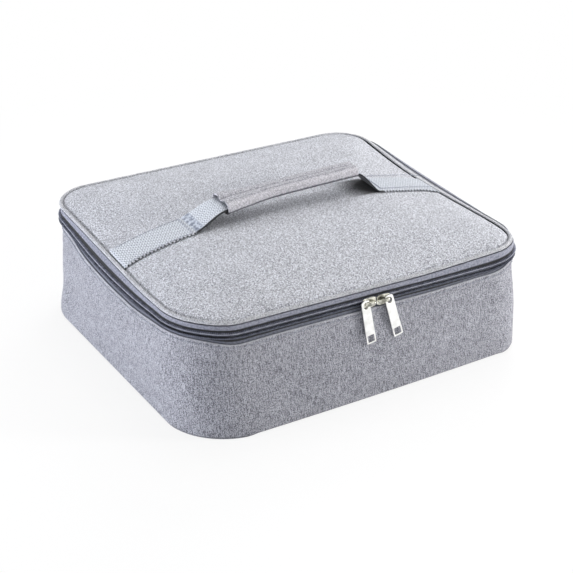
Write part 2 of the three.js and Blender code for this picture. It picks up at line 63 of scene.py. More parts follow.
# %% [markdown]
# ## The camera first
# The view was solved from the photograph: the bag is seen from its front left, 28 degrees above the
# horizon, with a long lens, so the far edges shrink only a little. The lens value is for a square
# picture on a 36 mm sensor. A camera could also be aimed by a constraint, but a plain rotation leaves
# it free to be moved.

# %% Camera
camera_place = np.array([-543.5, -1019.3, 657.0]) * mm
camera_target = np.array([-48.4, -103.1, 94.0]) * mm


def placed(name, data):
    """An object made from its data and linked to the scene."""
    obj = bpy.data.objects.new(name, data)
    bpy.context.scene.collection.objects.link(obj)
    return obj


def aimed(obj, place, target):
    """Puts an object at a place and turns its -Z axis towards a target, keeping its Y axis up."""
    obj.location = Vector(place)
    obj.rotation_euler = (Vector(target) - Vector(place)).to_track_quat("-Z", "Y").to_euler()
    return obj


camera_data = bpy.data.cameras.new("view_camera")
camera_data.lens = 101.48
camera_data.sensor_width = 36
camera_data.clip_end = 20
bpy.context.scene.camera = aimed(placed("view_camera", camera_data), camera_place, camera_target)
print("camera distance in mm:", round(float(np.linalg.norm(camera_place - camera_target)) / mm))

# %% [markdown]
# ## Sizes read from the frame
# The outline of the lid seam is the line that everything follows. "Spread" is how far out from that
# line a point lies, and height is its Z. What the CAD boxes can't tell is written here: the crown of the
# lid, the thin layers, the small spreads, and the radii of the corners.

# %% Sizes
lid_rim_spread = 0.2 * mm
lid_crown = 15.2 * mm
lid_crown_reach = 80 * mm
wall_top_spread = 5.2 * mm
cloth_thickness = 0.8 * mm
film_thickness = 0.4 * mm
tape_thickness = 0.6 * mm
foam_thickness = 5 * mm
clearance = 0.3 * mm
lid_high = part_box("lid_panel")[1]
half_width = lid_high.x - lid_rim_spread
half_depth = lid_high.y - lid_rim_spread
seam_height = lid_high.z - lid_crown
wall_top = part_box("side_wall")[1].z
foot_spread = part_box("bottom_panel")[1].x - half_width
fold_height = (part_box("back_panel")[1].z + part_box("hinge_panel")[0].z) / 2
zip_end_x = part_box("back_panel")[1].x
tape_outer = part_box("zip_tape_lower")[1].x - half_width
corner_signs = np.array([[1, 1], [1, -1], [-1, -1], [-1, 1]])
corner_radii = np.array([28, 20, 40, 29]) * mm
corner_foot_extra = np.array([5, -2, 2, 7]) * mm
print("seam outline in mm:", round(2 * half_width / mm), "by", round(2 * half_depth / mm))

# %% [markdown]
# ## Walking round the bag
# A walk is a list of stations round the bag. Each corner is an arc about its own centre, and each
# straight run blends from one arc's end to the next arc's start. Two extra key points on the back mark
# where the zip ends, so that the back panel and the zipped sides meet on an upright seam. Because every
# layer uses the same stations, cloth, foam and lining stay parallel.

# %% Walks
quarter_turn = np.pi / 2
back_angle = -3 * quarter_turn
first_back_key = 5


class Walk:
    """Stations round the bag, held as arrays: the key points before and after, the share of the way
    between them, and the outward angle."""

    def __init__(self, legs):
        starts, stops, shares, angles = zip(*legs)
        counts = [len(share) for share in shares]
        self.start = np.repeat(starts, counts)
        self.stop = np.repeat(stops, counts)
        self.share = np.concatenate(shares)[:, None]
        self.angle = np.concatenate(angles)[:, None]


def straight_leg(start, stop, shares, angle):
    """Stations at some shares of the way between two key points, all facing one way."""
    return start, stop, shares, np.full(len(shares), angle)


def side_legs(run_step=3.5 * mm, arc_steps=16):
    """The legs of the walk from the zip's right end, round the right, front and left, to its left end."""
    to_corner = 10 * mm
    legs = []
    for index, run in enumerate([to_corner, 2 * half_depth, 2 * half_width, 2 * half_depth, to_corner]):
        count = max(2, round(run / run_step))
        angle = quarter_turn * (1 - index)
        legs.append(straight_leg(index, index + 1, np.arange(count) / count, angle))
        if index < len(corner_radii):
            turn = np.arange(arc_steps) / arc_steps
            legs.append((index + 1, index + 1, 0 * turn, angle - quarter_turn * turn))
    return legs


def back_leg(shares):
    return straight_leg(first_back_key, 0, shares, back_angle)


back_shares = np.linspace(0, 1, 60)
last_station = straight_leg(first_back_key, first_back_key, np.zeros(1), back_angle)
sides_walk = Walk([*side_legs(), last_station])
back_walk = Walk([back_leg(back_shares)])
whole_walk = Walk([*side_legs(), back_leg(back_shares[:-1])])
print("stations round the sides, the back and the whole:",
      [len(walk.share) for walk in (sides_walk, back_walk, whole_walk)])

# %% [markdown]
# ## How the bag has settled
# A soft bag is never quite square. This one's foot stands turned against its lid, its front corners sink
# in, its left side bows, its front is hollow under the pulls, and on the right the zip puffs out while
# the lid's seam above it is drawn in. One could sculpt this or simulate it. Here each move is a formula
# of the place alone, so cloth, foam, tape and lining move together and never cut into each other. All
# are products of smooth steps between two places in mm.

# %% How far each part has moved
# All of these are in mm, apart from the twist, which is in radians.
left_bow_depth, back_bow_depth, foot_bow_depth = 3.8, 0.8, 1.5
front_hollow, hollow_change = 1.3, 0.9
zip_puff, side_puff, middle_puff, corner_puff = 1.4, 5.2, 1.0, 1.4
back_corner_sink = 2.6
lid_edge_lift, lid_right_lift = 1.2, 2.4
front_lift, front_right_lift = 0.8, 1.6
corner_levels = [0, 20, 74.5, 81.7, 92, 96]
left_corner_lift = [0, 0, 4.2, 1.0, 0.6, 0.6]
right_corner_lift = [0, 0, 4.4, 3.4, 0.6, 0.4]
left_tuck, right_tuck = 3.0, 0.5
seam_draw_depth = 5.6
foot_twist = 0.045

# %% Smooth steps and bows


def smooth_step(values, low, high):
    """0 below low, 1 above high and a smooth rise between them; it falls if low is above high."""
    share = np.clip((values - low) / (high - low), 0, 1)
    return share * share * (3 - 2 * share)


def rise(values, low, high):
    """The smooth step of a length between two lengths in mm."""
    return smooth_step(values, low * mm, high * mm)


def bow(values, middle, reach):
    """A cosine hump: 1 at the middle and 0 a reach away from it, both in mm."""
    return np.cos(np.pi / 2 * np.clip((values - middle * mm) / (reach * mm), -1, 1))


# %% Swelling and settling


def side_swell(x, y, angle, height):
    """How far the soft sides stand out from their straight line. The left side bows most in its middle.
    The front is a little hollow where the pulls lie on it. On the right the zip puffs out along the whole
    side and most at the front corner, and the wall sinks in at the left back corner."""
    to_right, to_back = np.cos(angle), np.sin(angle)
    facing_right, facing_left, facing_back, facing_front = (
        np.clip(share, 0, 1) ** 2 for share in (to_right, -to_right, to_back, -to_back)
    )
    upright = rise(height, 91, 83) * rise(height, 2, 62)
    bows = left_bow_depth * facing_left * bow(y, 8, 112) ** 2
    bows = bows + back_bow_depth * facing_back * bow(x, 0, 112) ** 2
    hollow = front_hollow + hollow_change * (rise(x, -30, -90) - rise(x, 40, 90))
    hollow = hollow * facing_front * rise(height, 22, 46) * rise(height, 76, 58)
    puff = zip_puff + side_puff * rise(y, -116, -92) + middle_puff * rise(y, -70, -45)
    puff = puff * rise(y, 138, 92) * facing_right + corner_puff * rise(x, 119, 136) * rise(-y, 40, 108)
    zip_band = rise(height, 94, 88) * rise(height, 70, 84)
    sink = back_corner_sink * facing_left * rise(y, 40, 100) * rise(height, 5, 30) * rise(height, 80, 74)
    return mm * (bows * upright - hollow + puff * zip_band - sink)


def lid_lift(x, y, z):
    """How far the lid's edge stands above the level of the seam: a little at the back, and more along the
    right side, where the zip puffs out. The middle of the lid stays where it is."""
    right = rise(x, 40, 140)
    near_edge = rise(z, 82, 89) * rise(z, 107, 97)
    at_back = lid_edge_lift * rise(y, -80, 80)
    at_right = lid_edge_lift + lid_right_lift * rise(-y, -60, 100)
    return mm * near_edge * (at_back * (1 - right) + at_right * right)


def seam_draw(x, y, z):
    """How far the lid's seam is drawn in along the right side, most near its middle: a cosine along the
    side, which begins just above the zip's puffed band."""
    return seam_draw_depth * mm * bow(y, 12, 110) ** 1.2 * rise(x, 60, 138) * rise(z, 88.5, 92.5)


def settled(points):
    """Where a point ends up once the soft case has settled. The foot stands turned a little against the
    lid and bows out in front. The front corners are tucked in, the left one more, and lifted, the right
    one more, with the zip on them. The lifts are read off straight lines between a few levels."""
    x, y, z = np.moveaxis(points, -1, 0)
    turn = foot_twist * rise(z, 65, 0)
    left = rise(-x, 100, 134) * rise(-y, 40, 108)
    right = rise(x, 111, 141) * rise(-y, 30, 112)
    at_corners = left * np.interp(z / mm, corner_levels, left_corner_lift)
    at_corners += right * np.interp(z / mm, corner_levels, right_corner_lift)
    in_front = front_lift * rise(x, -110, -60) + front_right_lift * rise(x, 50, 112)
    in_front = in_front * rise(-y, 60, 112) * rise(z, 20, 74) * rise(z, 80.5, 76)
    tuck_left = left_tuck * left * rise(z, 0, 60)
    tuck_right = right_tuck * rise(x, 116, 136) * rise(-y, 60, 124) * rise(z, 55, 75)
    slantwise = mm * math.sqrt(0.5)
    foot_bow = foot_bow_depth * mm * bow(x, 0, 125) * rise(-y, 60, 125) * rise(z, 45, 0)
    x_settled = x - turn * y + slantwise * (tuck_left - tuck_right) - seam_draw(x, y, z)
    y_settled = y + turn * x + slantwise * (tuck_left + tuck_right) - foot_bow
    z_settled = z + mm * (at_corners + in_front) + lid_lift(x, y, z)
    return np.stack([x_settled, y_settled, z_settled], axis=-1)


# %% [markdown]
# ## Lines carried round the bag
# Most layers have one outline of spread and height, the same all round. It is carried along a walk, as a
# plasterer draws a profile along a wall, and then settled. Smooth outlines come from a few points.

# %% Carrying a line


def corner_radius(spread, height):
    """The radius of each corner: it grows with the spread, and changes towards the ground."""
    towards_foot = np.clip(1 - height / wall_top, 0, 1)
    return corner_radii[:, None] + spread + corner_foot_extra[:, None] * towards_foot


def carried(walk, line, push=0.0):
    """Carries a line of (spread, height) points round the bag, as an array of stations by points by 3.
    `push` moves points further out, and may be an array of stations by points."""
    spread, height = np.asarray(line, float).T
    radius = corner_radius(spread, height)
    nothing = np.zeros((1, len(spread)))
    centre_x = corner_signs[:, :1] * (half_width + spread - radius)
    centre_y = corner_signs[:, 1:] * (half_depth + spread - radius)
    at_back = half_depth + spread + nothing

    def between(*keys):
        values = np.concatenate(keys)
        return values[walk.start] * (1 - walk.share) + values[walk.stop] * walk.share

    out_x = np.cos(walk.angle)
    out_y = np.sin(walk.angle)
    reach = between(nothing, radius, nothing)
    x = between(zip_end_x + nothing, centre_x, -zip_end_x + nothing) + reach * out_x
    y = between(at_back, centre_y, at_back) + reach * out_y
    move = side_swell(x, y, walk.angle, height) + push
    return settled(np.stack([x + move * out_x, y + move * out_y, height + 0 * x], axis=-1))


def spline(points, count):
    """A smooth line through a few points: a Catmull-Rom curve, sampled evenly in its parameter."""
    points = np.asarray(points, float)
    padded = np.vstack([2 * points[0] - points[1], points, 2 * points[-1] - points[-2]])
    at = np.linspace(0, len(points) - 1, count)
    cell = np.minimum(at.astype(int), len(points) - 2)
    t = (at - cell)[:, None]
    before, start, stop, after = (padded[cell + shift] for shift in range(4))
    return 0.5 * (
        2 * start + (stop - before) * t
        + (2 * before - 5 * start + 4 * stop - after) * t**2
        + (3 * start - before - 3 * stop + after) * t**3
    )


def unit(vectors):
    """Vectors made one long, along the last axis."""
    return vectors / np.linalg.norm(vectors, axis=-1, keepdims=True)


def inner_line(line, thickness):
    """The line moved in by a thickness, square to its own direction. The line runs downwards, so that
    inwards is to its right."""
    line = np.asarray(line, float)
    run = unit(np.gradient(line, axis=0))
    return line + thickness * np.stack([run[:, 1], -run[:, 0]], axis=-1)


# %% [markdown]
# ## From grids of points to meshes
# Every surface here is a grid of points, so one function makes all the meshes. A shell is two such grids,
# an outer and an inner face, joined round their edges, which gives closed cloth with a real thickness.
# Its UV map is in metres along the rows and columns, so that a weave keeps its scale on every piece.

# %% Mesh helpers


def link_mesh(name, points, faces, uv=None):
    """A smooth mesh object from flat arrays. A closed mesh of negative volume is turned over."""
    points = points.reshape(-1, 3)
    a, b, c, d = (points[faces[:, corner]] for corner in range(4))
    volume = np.einsum("ij,ij->", a, np.cross(b, c)) + np.einsum("ij,ij->", a, np.cross(c, d))
    if volume < 0:
        faces = faces[:, ::-1]
        uv = None if uv is None else uv[:, ::-1]
    mesh = bpy.data.meshes.new(name)
    mesh.from_pydata(points.tolist(), [], faces.tolist())
    if uv is not None:
        layer = mesh.uv_layers.new(name="UVMap")
        layer.data.foreach_set("uv", uv.reshape(-1).astype(np.float32))
    mesh.polygons.foreach_set("use_smooth", np.full(len(mesh.polygons), True))
    mesh.update()
    return placed(name, mesh)


def mesh_points(mesh):
    """The points of a mesh as an array of count by 3."""
    points = np.empty(len(mesh.vertices) * 3)
    mesh.vertices.foreach_get("co", points)
    return points.reshape(-1, 3)


def lengths(grid, axis):
    """Distances along one direction of a grid from its first line, as the mean over the other."""
    steps = np.linalg.norm(np.diff(grid, axis=axis), axis=-1).mean(axis=1 - axis)
    return np.concatenate([[0], np.cumsum(steps)])


def grid_faces(rows, columns, loop_rows=False, loop_columns=True):
    """Corner indices of a grid's quads, with the row and column of each corner before it wraps."""
    row = np.arange(rows if loop_rows else rows - 1)[:, None, None]
    column = np.arange(columns if loop_columns else columns - 1)[None, :, None]
    at_row = (row + 0 * column + [0, 0, 1, 1]).reshape(-1, 4)
    at_column = (0 * row + column + [0, 1, 1, 0]).reshape(-1, 4)
    return at_row % rows * columns + at_column % columns, at_row, at_column


def surface(name, grid, loop_rows=False, along=None, around=None):
    """A tube-like mesh from a grid of points of shape rows by columns by 3, whose columns run round it.
    Its rows loop too, or else its first and last rows are filled by quads that join the two halves of the
    row. For the UV map `along` gives the rows their own distances, and `around` is the distance across
    all columns."""
    rows, columns = grid.shape[:2]
    faces, at_row, at_column = grid_faces(rows, columns, loop_rows)
    closed = np.concatenate([grid, grid[:1]]) if loop_rows else grid
    closed = np.concatenate([closed, closed[:, :1]], axis=1)
    along = lengths(closed, 0) if along is None else along
    aside = lengths(closed, 1)
    aside = aside if around is None else aside * around / aside[-1]
    uv = np.stack([along[at_row], aside[at_column]], -1)
    if not loop_rows:
        half = np.arange(columns // 2 - 1)
        cap = np.stack([half, columns - 1 - half, columns - 2 - half, half + 1], -1)
        faces = np.concatenate([faces, cap, (rows - 1) * columns + cap[:, ::-1]])
        cap_uv = np.stack([0 * aside[cap], aside[cap]], -1)
        uv = np.concatenate([uv, cap_uv, cap_uv])
    return link_mesh(name, grid, faces, uv)


def shell(name, outer, inner, along=None, around=None):
    """A closed body between two faces: the columns run along the outer face and back along the inner."""
    return surface(name, np.concatenate([outer, inner[:, ::-1]], axis=1), along=along, around=around)


def layer(name, walk, line, thickness, push=0.0):
    """A shell whose outer face is a line carried round the bag, and its inner face a thickness inside."""
    return shell(name, carried(walk, line, push), carried(walk, inner_line(line, thickness), push))


# %% [markdown]
# ## Shader maths as expressions
# A node tree is easier to read as sums. `Wire` wraps one output socket, and its operators add Math
# nodes. `Nodes` owns a tree: one method adds any node, with its settings first and its sockets after.
# `Finish` is the tree of a material, where colours go through Mix nodes.

# %% Shader helpers


class Wire:
    """A socket that can be used in a Python expression."""

    def __init__(self, nodes, socket):
        self.nodes = nodes
        self.socket = socket

    def maths(self, operation, *others):
        inputs = dict(enumerate((self, *others)))
        return self.nodes.node("ShaderNodeMath", {"operation": operation}, inputs)

    def __add__(self, other):
        return self.maths("ADD", other)

    __radd__ = __add__

    def __mul__(self, other):
        return self.maths("MULTIPLY", other)

    __rmul__ = __mul__

    def __sub__(self, other):
        return self.maths("SUBTRACT", other)

    def __rsub__(self, other):
        return self.nodes.node("ShaderNodeMath", {"operation": "SUBTRACT"}, {0: other, 1: self})

    def __truediv__(self, other):
        return self.maths("DIVIDE", other)

    def floor(self):
        return self.maths("FLOOR")

    def fraction(self):
        return self.maths("FRACT")

    def odd(self):
        """1 for an odd whole number and 0 for an even one."""
        return (self * 0.5).fraction().maths("GREATER_THAN", 0.25)

    def wave(self, pitch):
        """A sine of 0 to 1 that repeats once a pitch."""
        return (self * (2 * math.pi / pitch)).maths("SINE") * 0.5 + 0.5

    def between(self, low, high):
        """The value mapped from low..high to 0..1, with smooth ends."""
        inputs = {"Value": self, "From Min": low, "From Max": high}
        return self.nodes.node("ShaderNodeMapRange", {"interpolation_type": "SMOOTHSTEP"}, inputs)

    def ramp(self, low, high):
        """The same for a length, between two lengths in mm."""
        return self.between(low * mm, high * mm)

    def stretch(self, low, full, fading, gone):
        """1 between `full` and `fading`, and 0 below `low` and above `gone`, in mm, with smooth ends."""
        return self.ramp(low, full) * (1 - self.ramp(fading, gone))


class Nodes:
    """A node tree, and what adds nodes to it."""

    def __init__(self, tree):
        self.tree = tree

    def node(self, kind, settings=None, inputs=None, output=0):
        """Adds a node: its settings are set first, then its sockets get values or links."""
        node = self.tree.nodes.new(kind)
        for key, value in (settings or {}).items():
            setattr(node, key, value)
        for key, value in (inputs or {}).items():
            self.plug(node.inputs[key], value)
        return Wire(self, node.outputs[output])

    def plug(self, socket, value):
        if isinstance(value, Wire):
            self.tree.links.new(value.socket, socket)
        else:
            socket.default_value = value


class Finish(Nodes):
    """A material and its nodes."""

    def __init__(self, name, **constants):
        self.material = bpy.data.materials.new(name)
        self.material.use_nodes = True
        super().__init__(self.material.node_tree)
        self.shader = self.tree.nodes["Principled BSDF"]
        for socket, value in constants.items():
            self.feed(socket.replace("_", " "), value)

    def feed(self, socket, value):
        self.plug(self.shader.inputs[socket], value)

    def mix(self, factor, first, second):
        """A colour between two colours."""
        inputs = {0: factor, 6: first, 7: second}
        return self.node("ShaderNodeMix", {"data_type": "RGBA"}, inputs, output=2)

    def parts(self, source):
        """The X, Y and Z of a vector, as three wires."""
        split = self.tree.nodes.new("ShaderNodeSeparateXYZ")
        self.plug(split.inputs[0], source)
        return [Wire(self, socket) for socket in split.outputs]

    def join(self, x, y, z=0.0):
        return self.node("ShaderNodeCombineXYZ", None, {0: x, 1: y, 2: z})

    def uv(self):
        """Distance along and across the piece, in metres."""
        return self.parts(self.node("ShaderNodeUVMap", {"uv_map": "UVMap"}))[:2]

    def place(self):
        """Where a point lies on the bag, in metres, as one vector."""
        return self.node("ShaderNodeTexCoord", None, None, "Object")

    def xyz(self):
        return self.parts(self.place())

    def noise(self, vector, scale, detail=2.0):
        return self.node("ShaderNodeTexNoise", None, {"Vector": vector, "Scale": scale, "Detail": detail})

    def bump(self, height, distance, strength=1.0):
        inputs = {"Height": height, "Distance": distance, "Strength": strength}
        self.feed("Normal", self.node("ShaderNodeBump", None, inputs))


def srgb(red, green, blue):
    """A colour written in the 0 to 255 values of a screen, as the shader's linear values."""
    screen = np.array([red, green, blue]) / 255
    linear = np.where(screen <= 0.04045, screen / 12.92, ((screen + 0.055) / 1.055) ** 2.4)
    return (*linear.tolist(), 1.0)


# %% [markdown]
# ## Heathered cloth
# The bag's cloth is woven from yarns that each change between a darker and a paler grey along their
# length. The material does the same: the plane is cut into yarns by rounding down, each yarn takes its
# tone from a noise read at its own number, and a checker of over and under picks the warp or the weft.
# From a step away this averages to short flecks along the warp, as on the real cloth.

# %% Cloth material
yarn_pitch = 0.62 * mm
# Neighbouring yarns read the noise this far apart, so that their tones don't look alike.
warp_spacing, weft_spacing = 3.71, 4.13
cloud_scale, fibre_scale = 38.0, 900.0
streak_width, streak_length = 0.55 * mm, 7 * mm
shade_below_riser = srgb(14, 15, 19)
seam_shade = srgb(46, 46, 54)


def heathered(name, dark, pale, fleck, streaks, on_lid=False, painted_fold_highlight=None, front_band=None):
    """Cloth of warp and weft yarns with flecks of a given length. The warp runs up the wall, and along X
    on the lid, where the deep shade below the right riser is painted on. An edge colour, if given, is a
    painted highlight along the fold at the start of the cloth. `front_band` gives the start and stop in
    mm, and the tint, of a lighter stretch of the grip; its seam, underside, fold and top crease get
    painted shade."""
    finish = Finish(name, Roughness=0.96, Sheen_Weight=0.12, Sheen_Roughness=0.6)
    along, across = finish.xyz()[:2] if on_lid else finish.uv()[::-1]
    a = across / yarn_pitch
    b = along / yarn_pitch
    warp_number = a.floor()
    weft_number = b.floor()
    warp_place = finish.join(warp_number * warp_spacing, along / fleck)
    weft_place = finish.join(across / (0.6 * fleck), weft_number * weft_spacing, 7.0)
    warp_tone, weft_tone = (finish.noise(place, 1.0, detail=1.0) for place in (warp_place, weft_place))
    warp_over = (warp_number + weft_number).odd()
    share = warp_over * 0.3 + 0.4
    tone = share * warp_tone + (1 - share) * weft_tone
    streak = finish.noise(finish.join(across / streak_width, along / streak_length), 1.0, detail=1.0)
    cloud = finish.noise(finish.join(across, along), cloud_scale)
    fibre = finish.noise(finish.join(across * 2.0, along), fibre_scale)
    shade = tone + (fibre - 0.5) * 0.6 + (streak - 0.5) * streaks + (cloud - 0.5) * 0.06
    colour = finish.mix(shade.between(0.34, 0.66), dark, pale)
    if on_lid:
        below_riser = along.stretch(48, 74, 84, 87) * across.stretch(-24, -20, 6, 10)
        colour = finish.mix(below_riser * 0.95, colour, shade_below_riser)
    # Painted highlight: the fold at the start of the cloth is lighter, where it catches the light.
    if painted_fold_highlight:
        colour = finish.mix((1 - along.ramp(0.5, 1.7)) * 0.65, colour, painted_fold_highlight)
    if front_band:
        start, stop, tint = front_band
        soft = 0.6
        pale_band = along.stretch(start - soft, start + 3 * soft, stop - soft, stop)
        colour = finish.mix(pale_band * 0.28, colour, tint)
        # Painted shade, in the seam shade colour: the gap at the seam after the pale band, the underside
        # after it, the fold before it and the crease along the top.
        seam = along.stretch(stop - soft, stop, stop + soft, stop + 2 * soft)
        fold = along.stretch(start - 4 * soft, start - 3 * soft, start - 2 * soft, start - soft)
        crease = along.stretch(9.6, 10.6, 10.9, 11.9)
        below = along.stretch(stop, stop + soft, 46, 49)
        colour = finish.mix(seam * 0.3 + below * 0.65 + fold * 0.3 + crease * 0.4, colour, seam_shade)
    finish.feed("Base Color", colour)
    warp_round, weft_round = ((yarn.fraction() - 0.5).maths("ABSOLUTE") for yarn in (a, b))
    height = warp_over * (1 - warp_round) + (1 - warp_over) * (1 - weft_round) + fibre * 0.5
    finish.bump(height, 0.25 * mm, 0.9)
    return finish.material


# The wall's cloth gets a painted highlight along its top fold.
wall_cloth_finish = heathered(
    "heather_wall", srgb(86, 86, 95), srgb(188, 189, 198), fleck=0.9 * mm, streaks=0.5,
    painted_fold_highlight=srgb(198, 199, 208),
)
lid_cloth_finish = heathered(
    "heather_lid", srgb(116, 117, 126), srgb(231, 233, 240), fleck=1.4 * mm, streaks=0.16, on_lid=True
)
grip_cloth_finish = heathered(
    "heather_grip", srgb(112, 112, 120), srgb(214, 213, 220), fleck=1.3 * mm, streaks=0.2,
    front_band=(18.5, 25.3, srgb(242, 238, 243)),
)
piping_finish = heathered(
    "heather_piping", srgb(136, 137, 143), srgb(214, 215, 220), fleck=1.2 * mm, streaks=0.2
)
print("cloth finishes:", [material.name for material in bpy.data.materials if "heather" in material.name])

# %% [markdown]
# ## Tape, webbing, thread, film, foam and metal
# The zip tape is a fine herringbone: diagonal lines that change direction in narrow strips. The webbing
# has ribs across it, modelled in the mesh, and the material adds its small dots. The lining is a metal
# film that creases. The hardware is nickel, polished and slightly brushed.

# %% Zip tape and webbing materials
webbing_rib = 1.8 * mm
strap_round = 62.8
coil_groove_shade = srgb(16, 17, 23)
strap_edge_shade = srgb(20, 22, 28)


def tape_finish(name, dark, pale, coil_from, coil_to):
    """Zip tape. Its part behind the coil, between two distances in mm from its upper edge, is painted
    nearly black as the shade in the grooves along the coil, and on the right it lies 1 mm lower."""
    finish = Finish(name, Roughness=0.85, Sheen_Weight=0.1)
    along, across = finish.uv()
    lean = (across / (2.4 * mm)).floor().odd() * 2 - 1
    ridge = (along + across * lean).wave(0.9 * mm)
    grain = finish.noise(finish.join(along, across), 620.0)
    shade = (ridge * 0.25 + grain * 0.75).between(0.3, 0.65)
    lower = finish.xyz()[0].ramp(20, 90)
    edges = [lower + (place + soft) for place in (coil_from, coil_to) for soft in (-0.3, 0.3)]
    colour = finish.mix(shade, dark, pale)
    # Painted shade: the grooves along the coil's edges are nearly black.
    finish.feed("Base Color", finish.mix(across.stretch(*edges), colour, coil_groove_shade))
    finish.bump(ridge + grain * 0.4, 0.12 * mm)
    return finish.material


def webbing_finish(name, free_from, contrast, tack=None):
    """Ribs across the strap, and a fine twill that leans both ways, so that dark dots appear where its
    lines cross. Dashes of painted shade run along the front edge, and from the start of the free stretch
    painted shade darkens the edge all along and the underside. A dense patch of stitches may tack the
    strap to the lid. These places are in mm from the strap's start."""
    finish = Finish(name, Sheen_Weight=0.15)
    along, across = finish.uv()
    groove = 1 - (along - 0.25 * webbing_rib).wave(webbing_rib)
    lean_left = (along * 0.8 - across * 0.6).wave(2.1 * mm)
    lean_right = (along * 0.8 + across * 0.6).wave(2.1 * mm)
    grain = finish.noise(finish.join(along, across), 620.0)
    dark = (lean_left * 0.28 + lean_right * 0.34 + groove * 0.26) * contrast
    shade = (1.14 - 0.62 * (1 - contrast) - dark + (grain - 0.5) * 0.8).between(0.1, 1.1)
    colour = finish.mix(shade, srgb(92, 100, 114), srgb(220, 224, 231))
    free = along.ramp(free_from, free_from + 2)
    dash = (along.wave(3.2 * mm).between(0.45, 0.65) + free).between(0.0, 1.0)
    near_side = across.ramp(strap_round - 1.9, strap_round - 1.5)
    front_edge = near_side + (1 - (across - free * 0.6 * mm).ramp(1.0, 1.5))
    below = across.ramp(0.5 * strap_round, 0.5 * strap_round + 1)
    if tack:
        start, stop = tack
        coarse = finish.noise(finish.join(along, across), 330.0, detail=3.0)
        stitched = finish.mix(coarse.between(0.35, 0.65), srgb(88, 97, 116), srgb(196, 203, 216))
        colour = finish.mix(along.stretch(start, start + 2, stop - 2, stop) * 0.85, colour, stitched)
    # Painted shade: dashes along the front edge, the whole edge of the free stretch, and its underside.
    colour = finish.mix(front_edge * dash, colour, strap_edge_shade)
    finish.feed("Base Color", finish.mix(below * free * 0.95, colour, strap_edge_shade))
    finish.feed("Roughness", 0.66 + grain * 0.2)
    finish.bump(grain * 0.4 - dark, 0.15 * mm)
    return finish.material


upper_tape_material = tape_finish(
    "upper_zip_tape", srgb(96, 98, 111), srgb(162, 164, 179), coil_from=4.4, coil_to=20
)
# The bag's tape is a darker copy of the lid's, as painted shade under the chain.
shaded_lower_tape_material = tape_finish(
    "shaded_lower_zip_tape", srgb(76, 79, 92), srgb(120, 123, 136), coil_from=-20, coil_to=4.0
)
webbing_material = webbing_finish("strap_webbing", free_from=57, contrast=0.4)
tacked_webbing_material = webbing_finish("tacked_webbing", free_from=62, contrast=1.0, tack=(62, 71.5))

# %% Plain materials, film and metal


def fibre_finish(name, dark, pale, scale=600.0):
    """A plain thread, binding or foam: two close tones mixed by a fine noise, and a soft bump."""
    finish = Finish(name, Roughness=0.85)
    grain = finish.noise(finish.place(), scale, detail=3.0)
    finish.feed("Base Color", finish.mix(grain.between(0.3, 0.7), dark, pale))
    finish.bump(grain, 0.1 * mm)
    return finish.material


def coil_finish(name, dark, pale):
    """Smooth plastic: two tones mixed by a noise, which also makes it duller in places."""
    finish = Finish(name)
    grain = finish.noise(finish.place(), 350.0)
    finish.feed("Base Color", finish.mix(grain.between(0.3, 0.7), dark, pale))
    finish.feed("Roughness", 0.38 + grain * 0.2)
    return finish.material


def film_finish(name, dark, pale):
    """Metal film: the edges of noise-bent cells are its creases, over soft waves."""
    finish = Finish(name, Metallic=0.75)
    soft = finish.noise(finish.place(), 40.0, detail=4.0)
    x, y, z = finish.xyz()
    bent = finish.join(x + soft * 30 * mm, y + soft * 22 * mm, z - soft * 26 * mm)
    inputs = {"Vector": bent, "Scale": 55.0}
    crease = finish.node("ShaderNodeTexVoronoi", {"feature": "DISTANCE_TO_EDGE"}, inputs)
    finish.feed("Base Color", finish.mix(soft.between(0.3, 0.7), dark, pale))
    finish.feed("Roughness", 0.24 + soft * 0.16)
    finish.bump(crease.between(0.0, 0.2) + soft * 2.0, 0.5 * mm, 0.45)
    return finish.material


def metal_finish(name, dark, pale):
    """Plated metal with faint brushing and patches where the plating has dulled."""
    finish = Finish(name, Metallic=1.0)
    x, y, z = finish.xyz()
    brushed = finish.noise(finish.join(x * 6, y * 6, z), 320.0)
    worn = finish.noise(finish.place(), 160.0, detail=3.0)
    finish.feed("Base Color", finish.mix(worn.between(0.35, 0.65), dark, pale))
    finish.feed("Roughness", 0.16 + brushed * 0.14)
    finish.bump(brushed, 0.02 * mm, 0.5)
    return finish.material


coil_material = coil_finish("zip_coil", srgb(74, 77, 92), srgb(124, 127, 144))
film_material = film_finish("lining_film", srgb(196, 199, 204), srgb(226, 228, 231))
pull_nickel = metal_finish("pull_nickel", srgb(230, 230, 227), srgb(247, 247, 245))
# The sliders' nickel is a darker copy of the pulls': painted shade on the sliders, over dulled patches in
# the plating.
shaded_slider_nickel = metal_finish("shaded_slider_nickel", srgb(128, 127, 118), srgb(226, 225, 214))
binding_material = fibre_finish("seam_binding", srgb(88, 91, 101), srgb(122, 125, 135))
foam_material = fibre_finish("foam", srgb(232, 232, 228), srgb(246, 246, 243), scale=1500.0)
slate_thread = fibre_finish("slate_thread", srgb(138, 141, 154), srgb(184, 187, 200))
# A darker copy of the slate thread, for the bag's coil thread: painted shade under the chain.
shaded_coil_thread = fibre_finish("shaded_coil_thread", srgb(72, 76, 89), srgb(108, 112, 126))
print("materials made:", len(bpy.data.materials))


def dressed(obj, body, material, slot, *nodes):
    """Gives a piece its material and its body, and hides the CAD nodes that it stands for. The slot is
    not used.
    """
    obj.data.materials.append(material)
    if body:
        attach(obj, body)
    if nodes:
        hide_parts(*nodes)
    print(obj.name, "faces:", len(obj.data.polygons))
    return obj


# %% [markdown]
# ## The walls
# One strip of cloth goes round the right, the front and the left. Its top edge is folded in and stitched
# down, so it is a little thicker there, and its foot turns in to the seam with the bottom. Soft foam
# behind it makes it stand a little proud, with shallow dents. Carrying one line round the bag gives all
# of that, where a box with five plates would look like a carton.

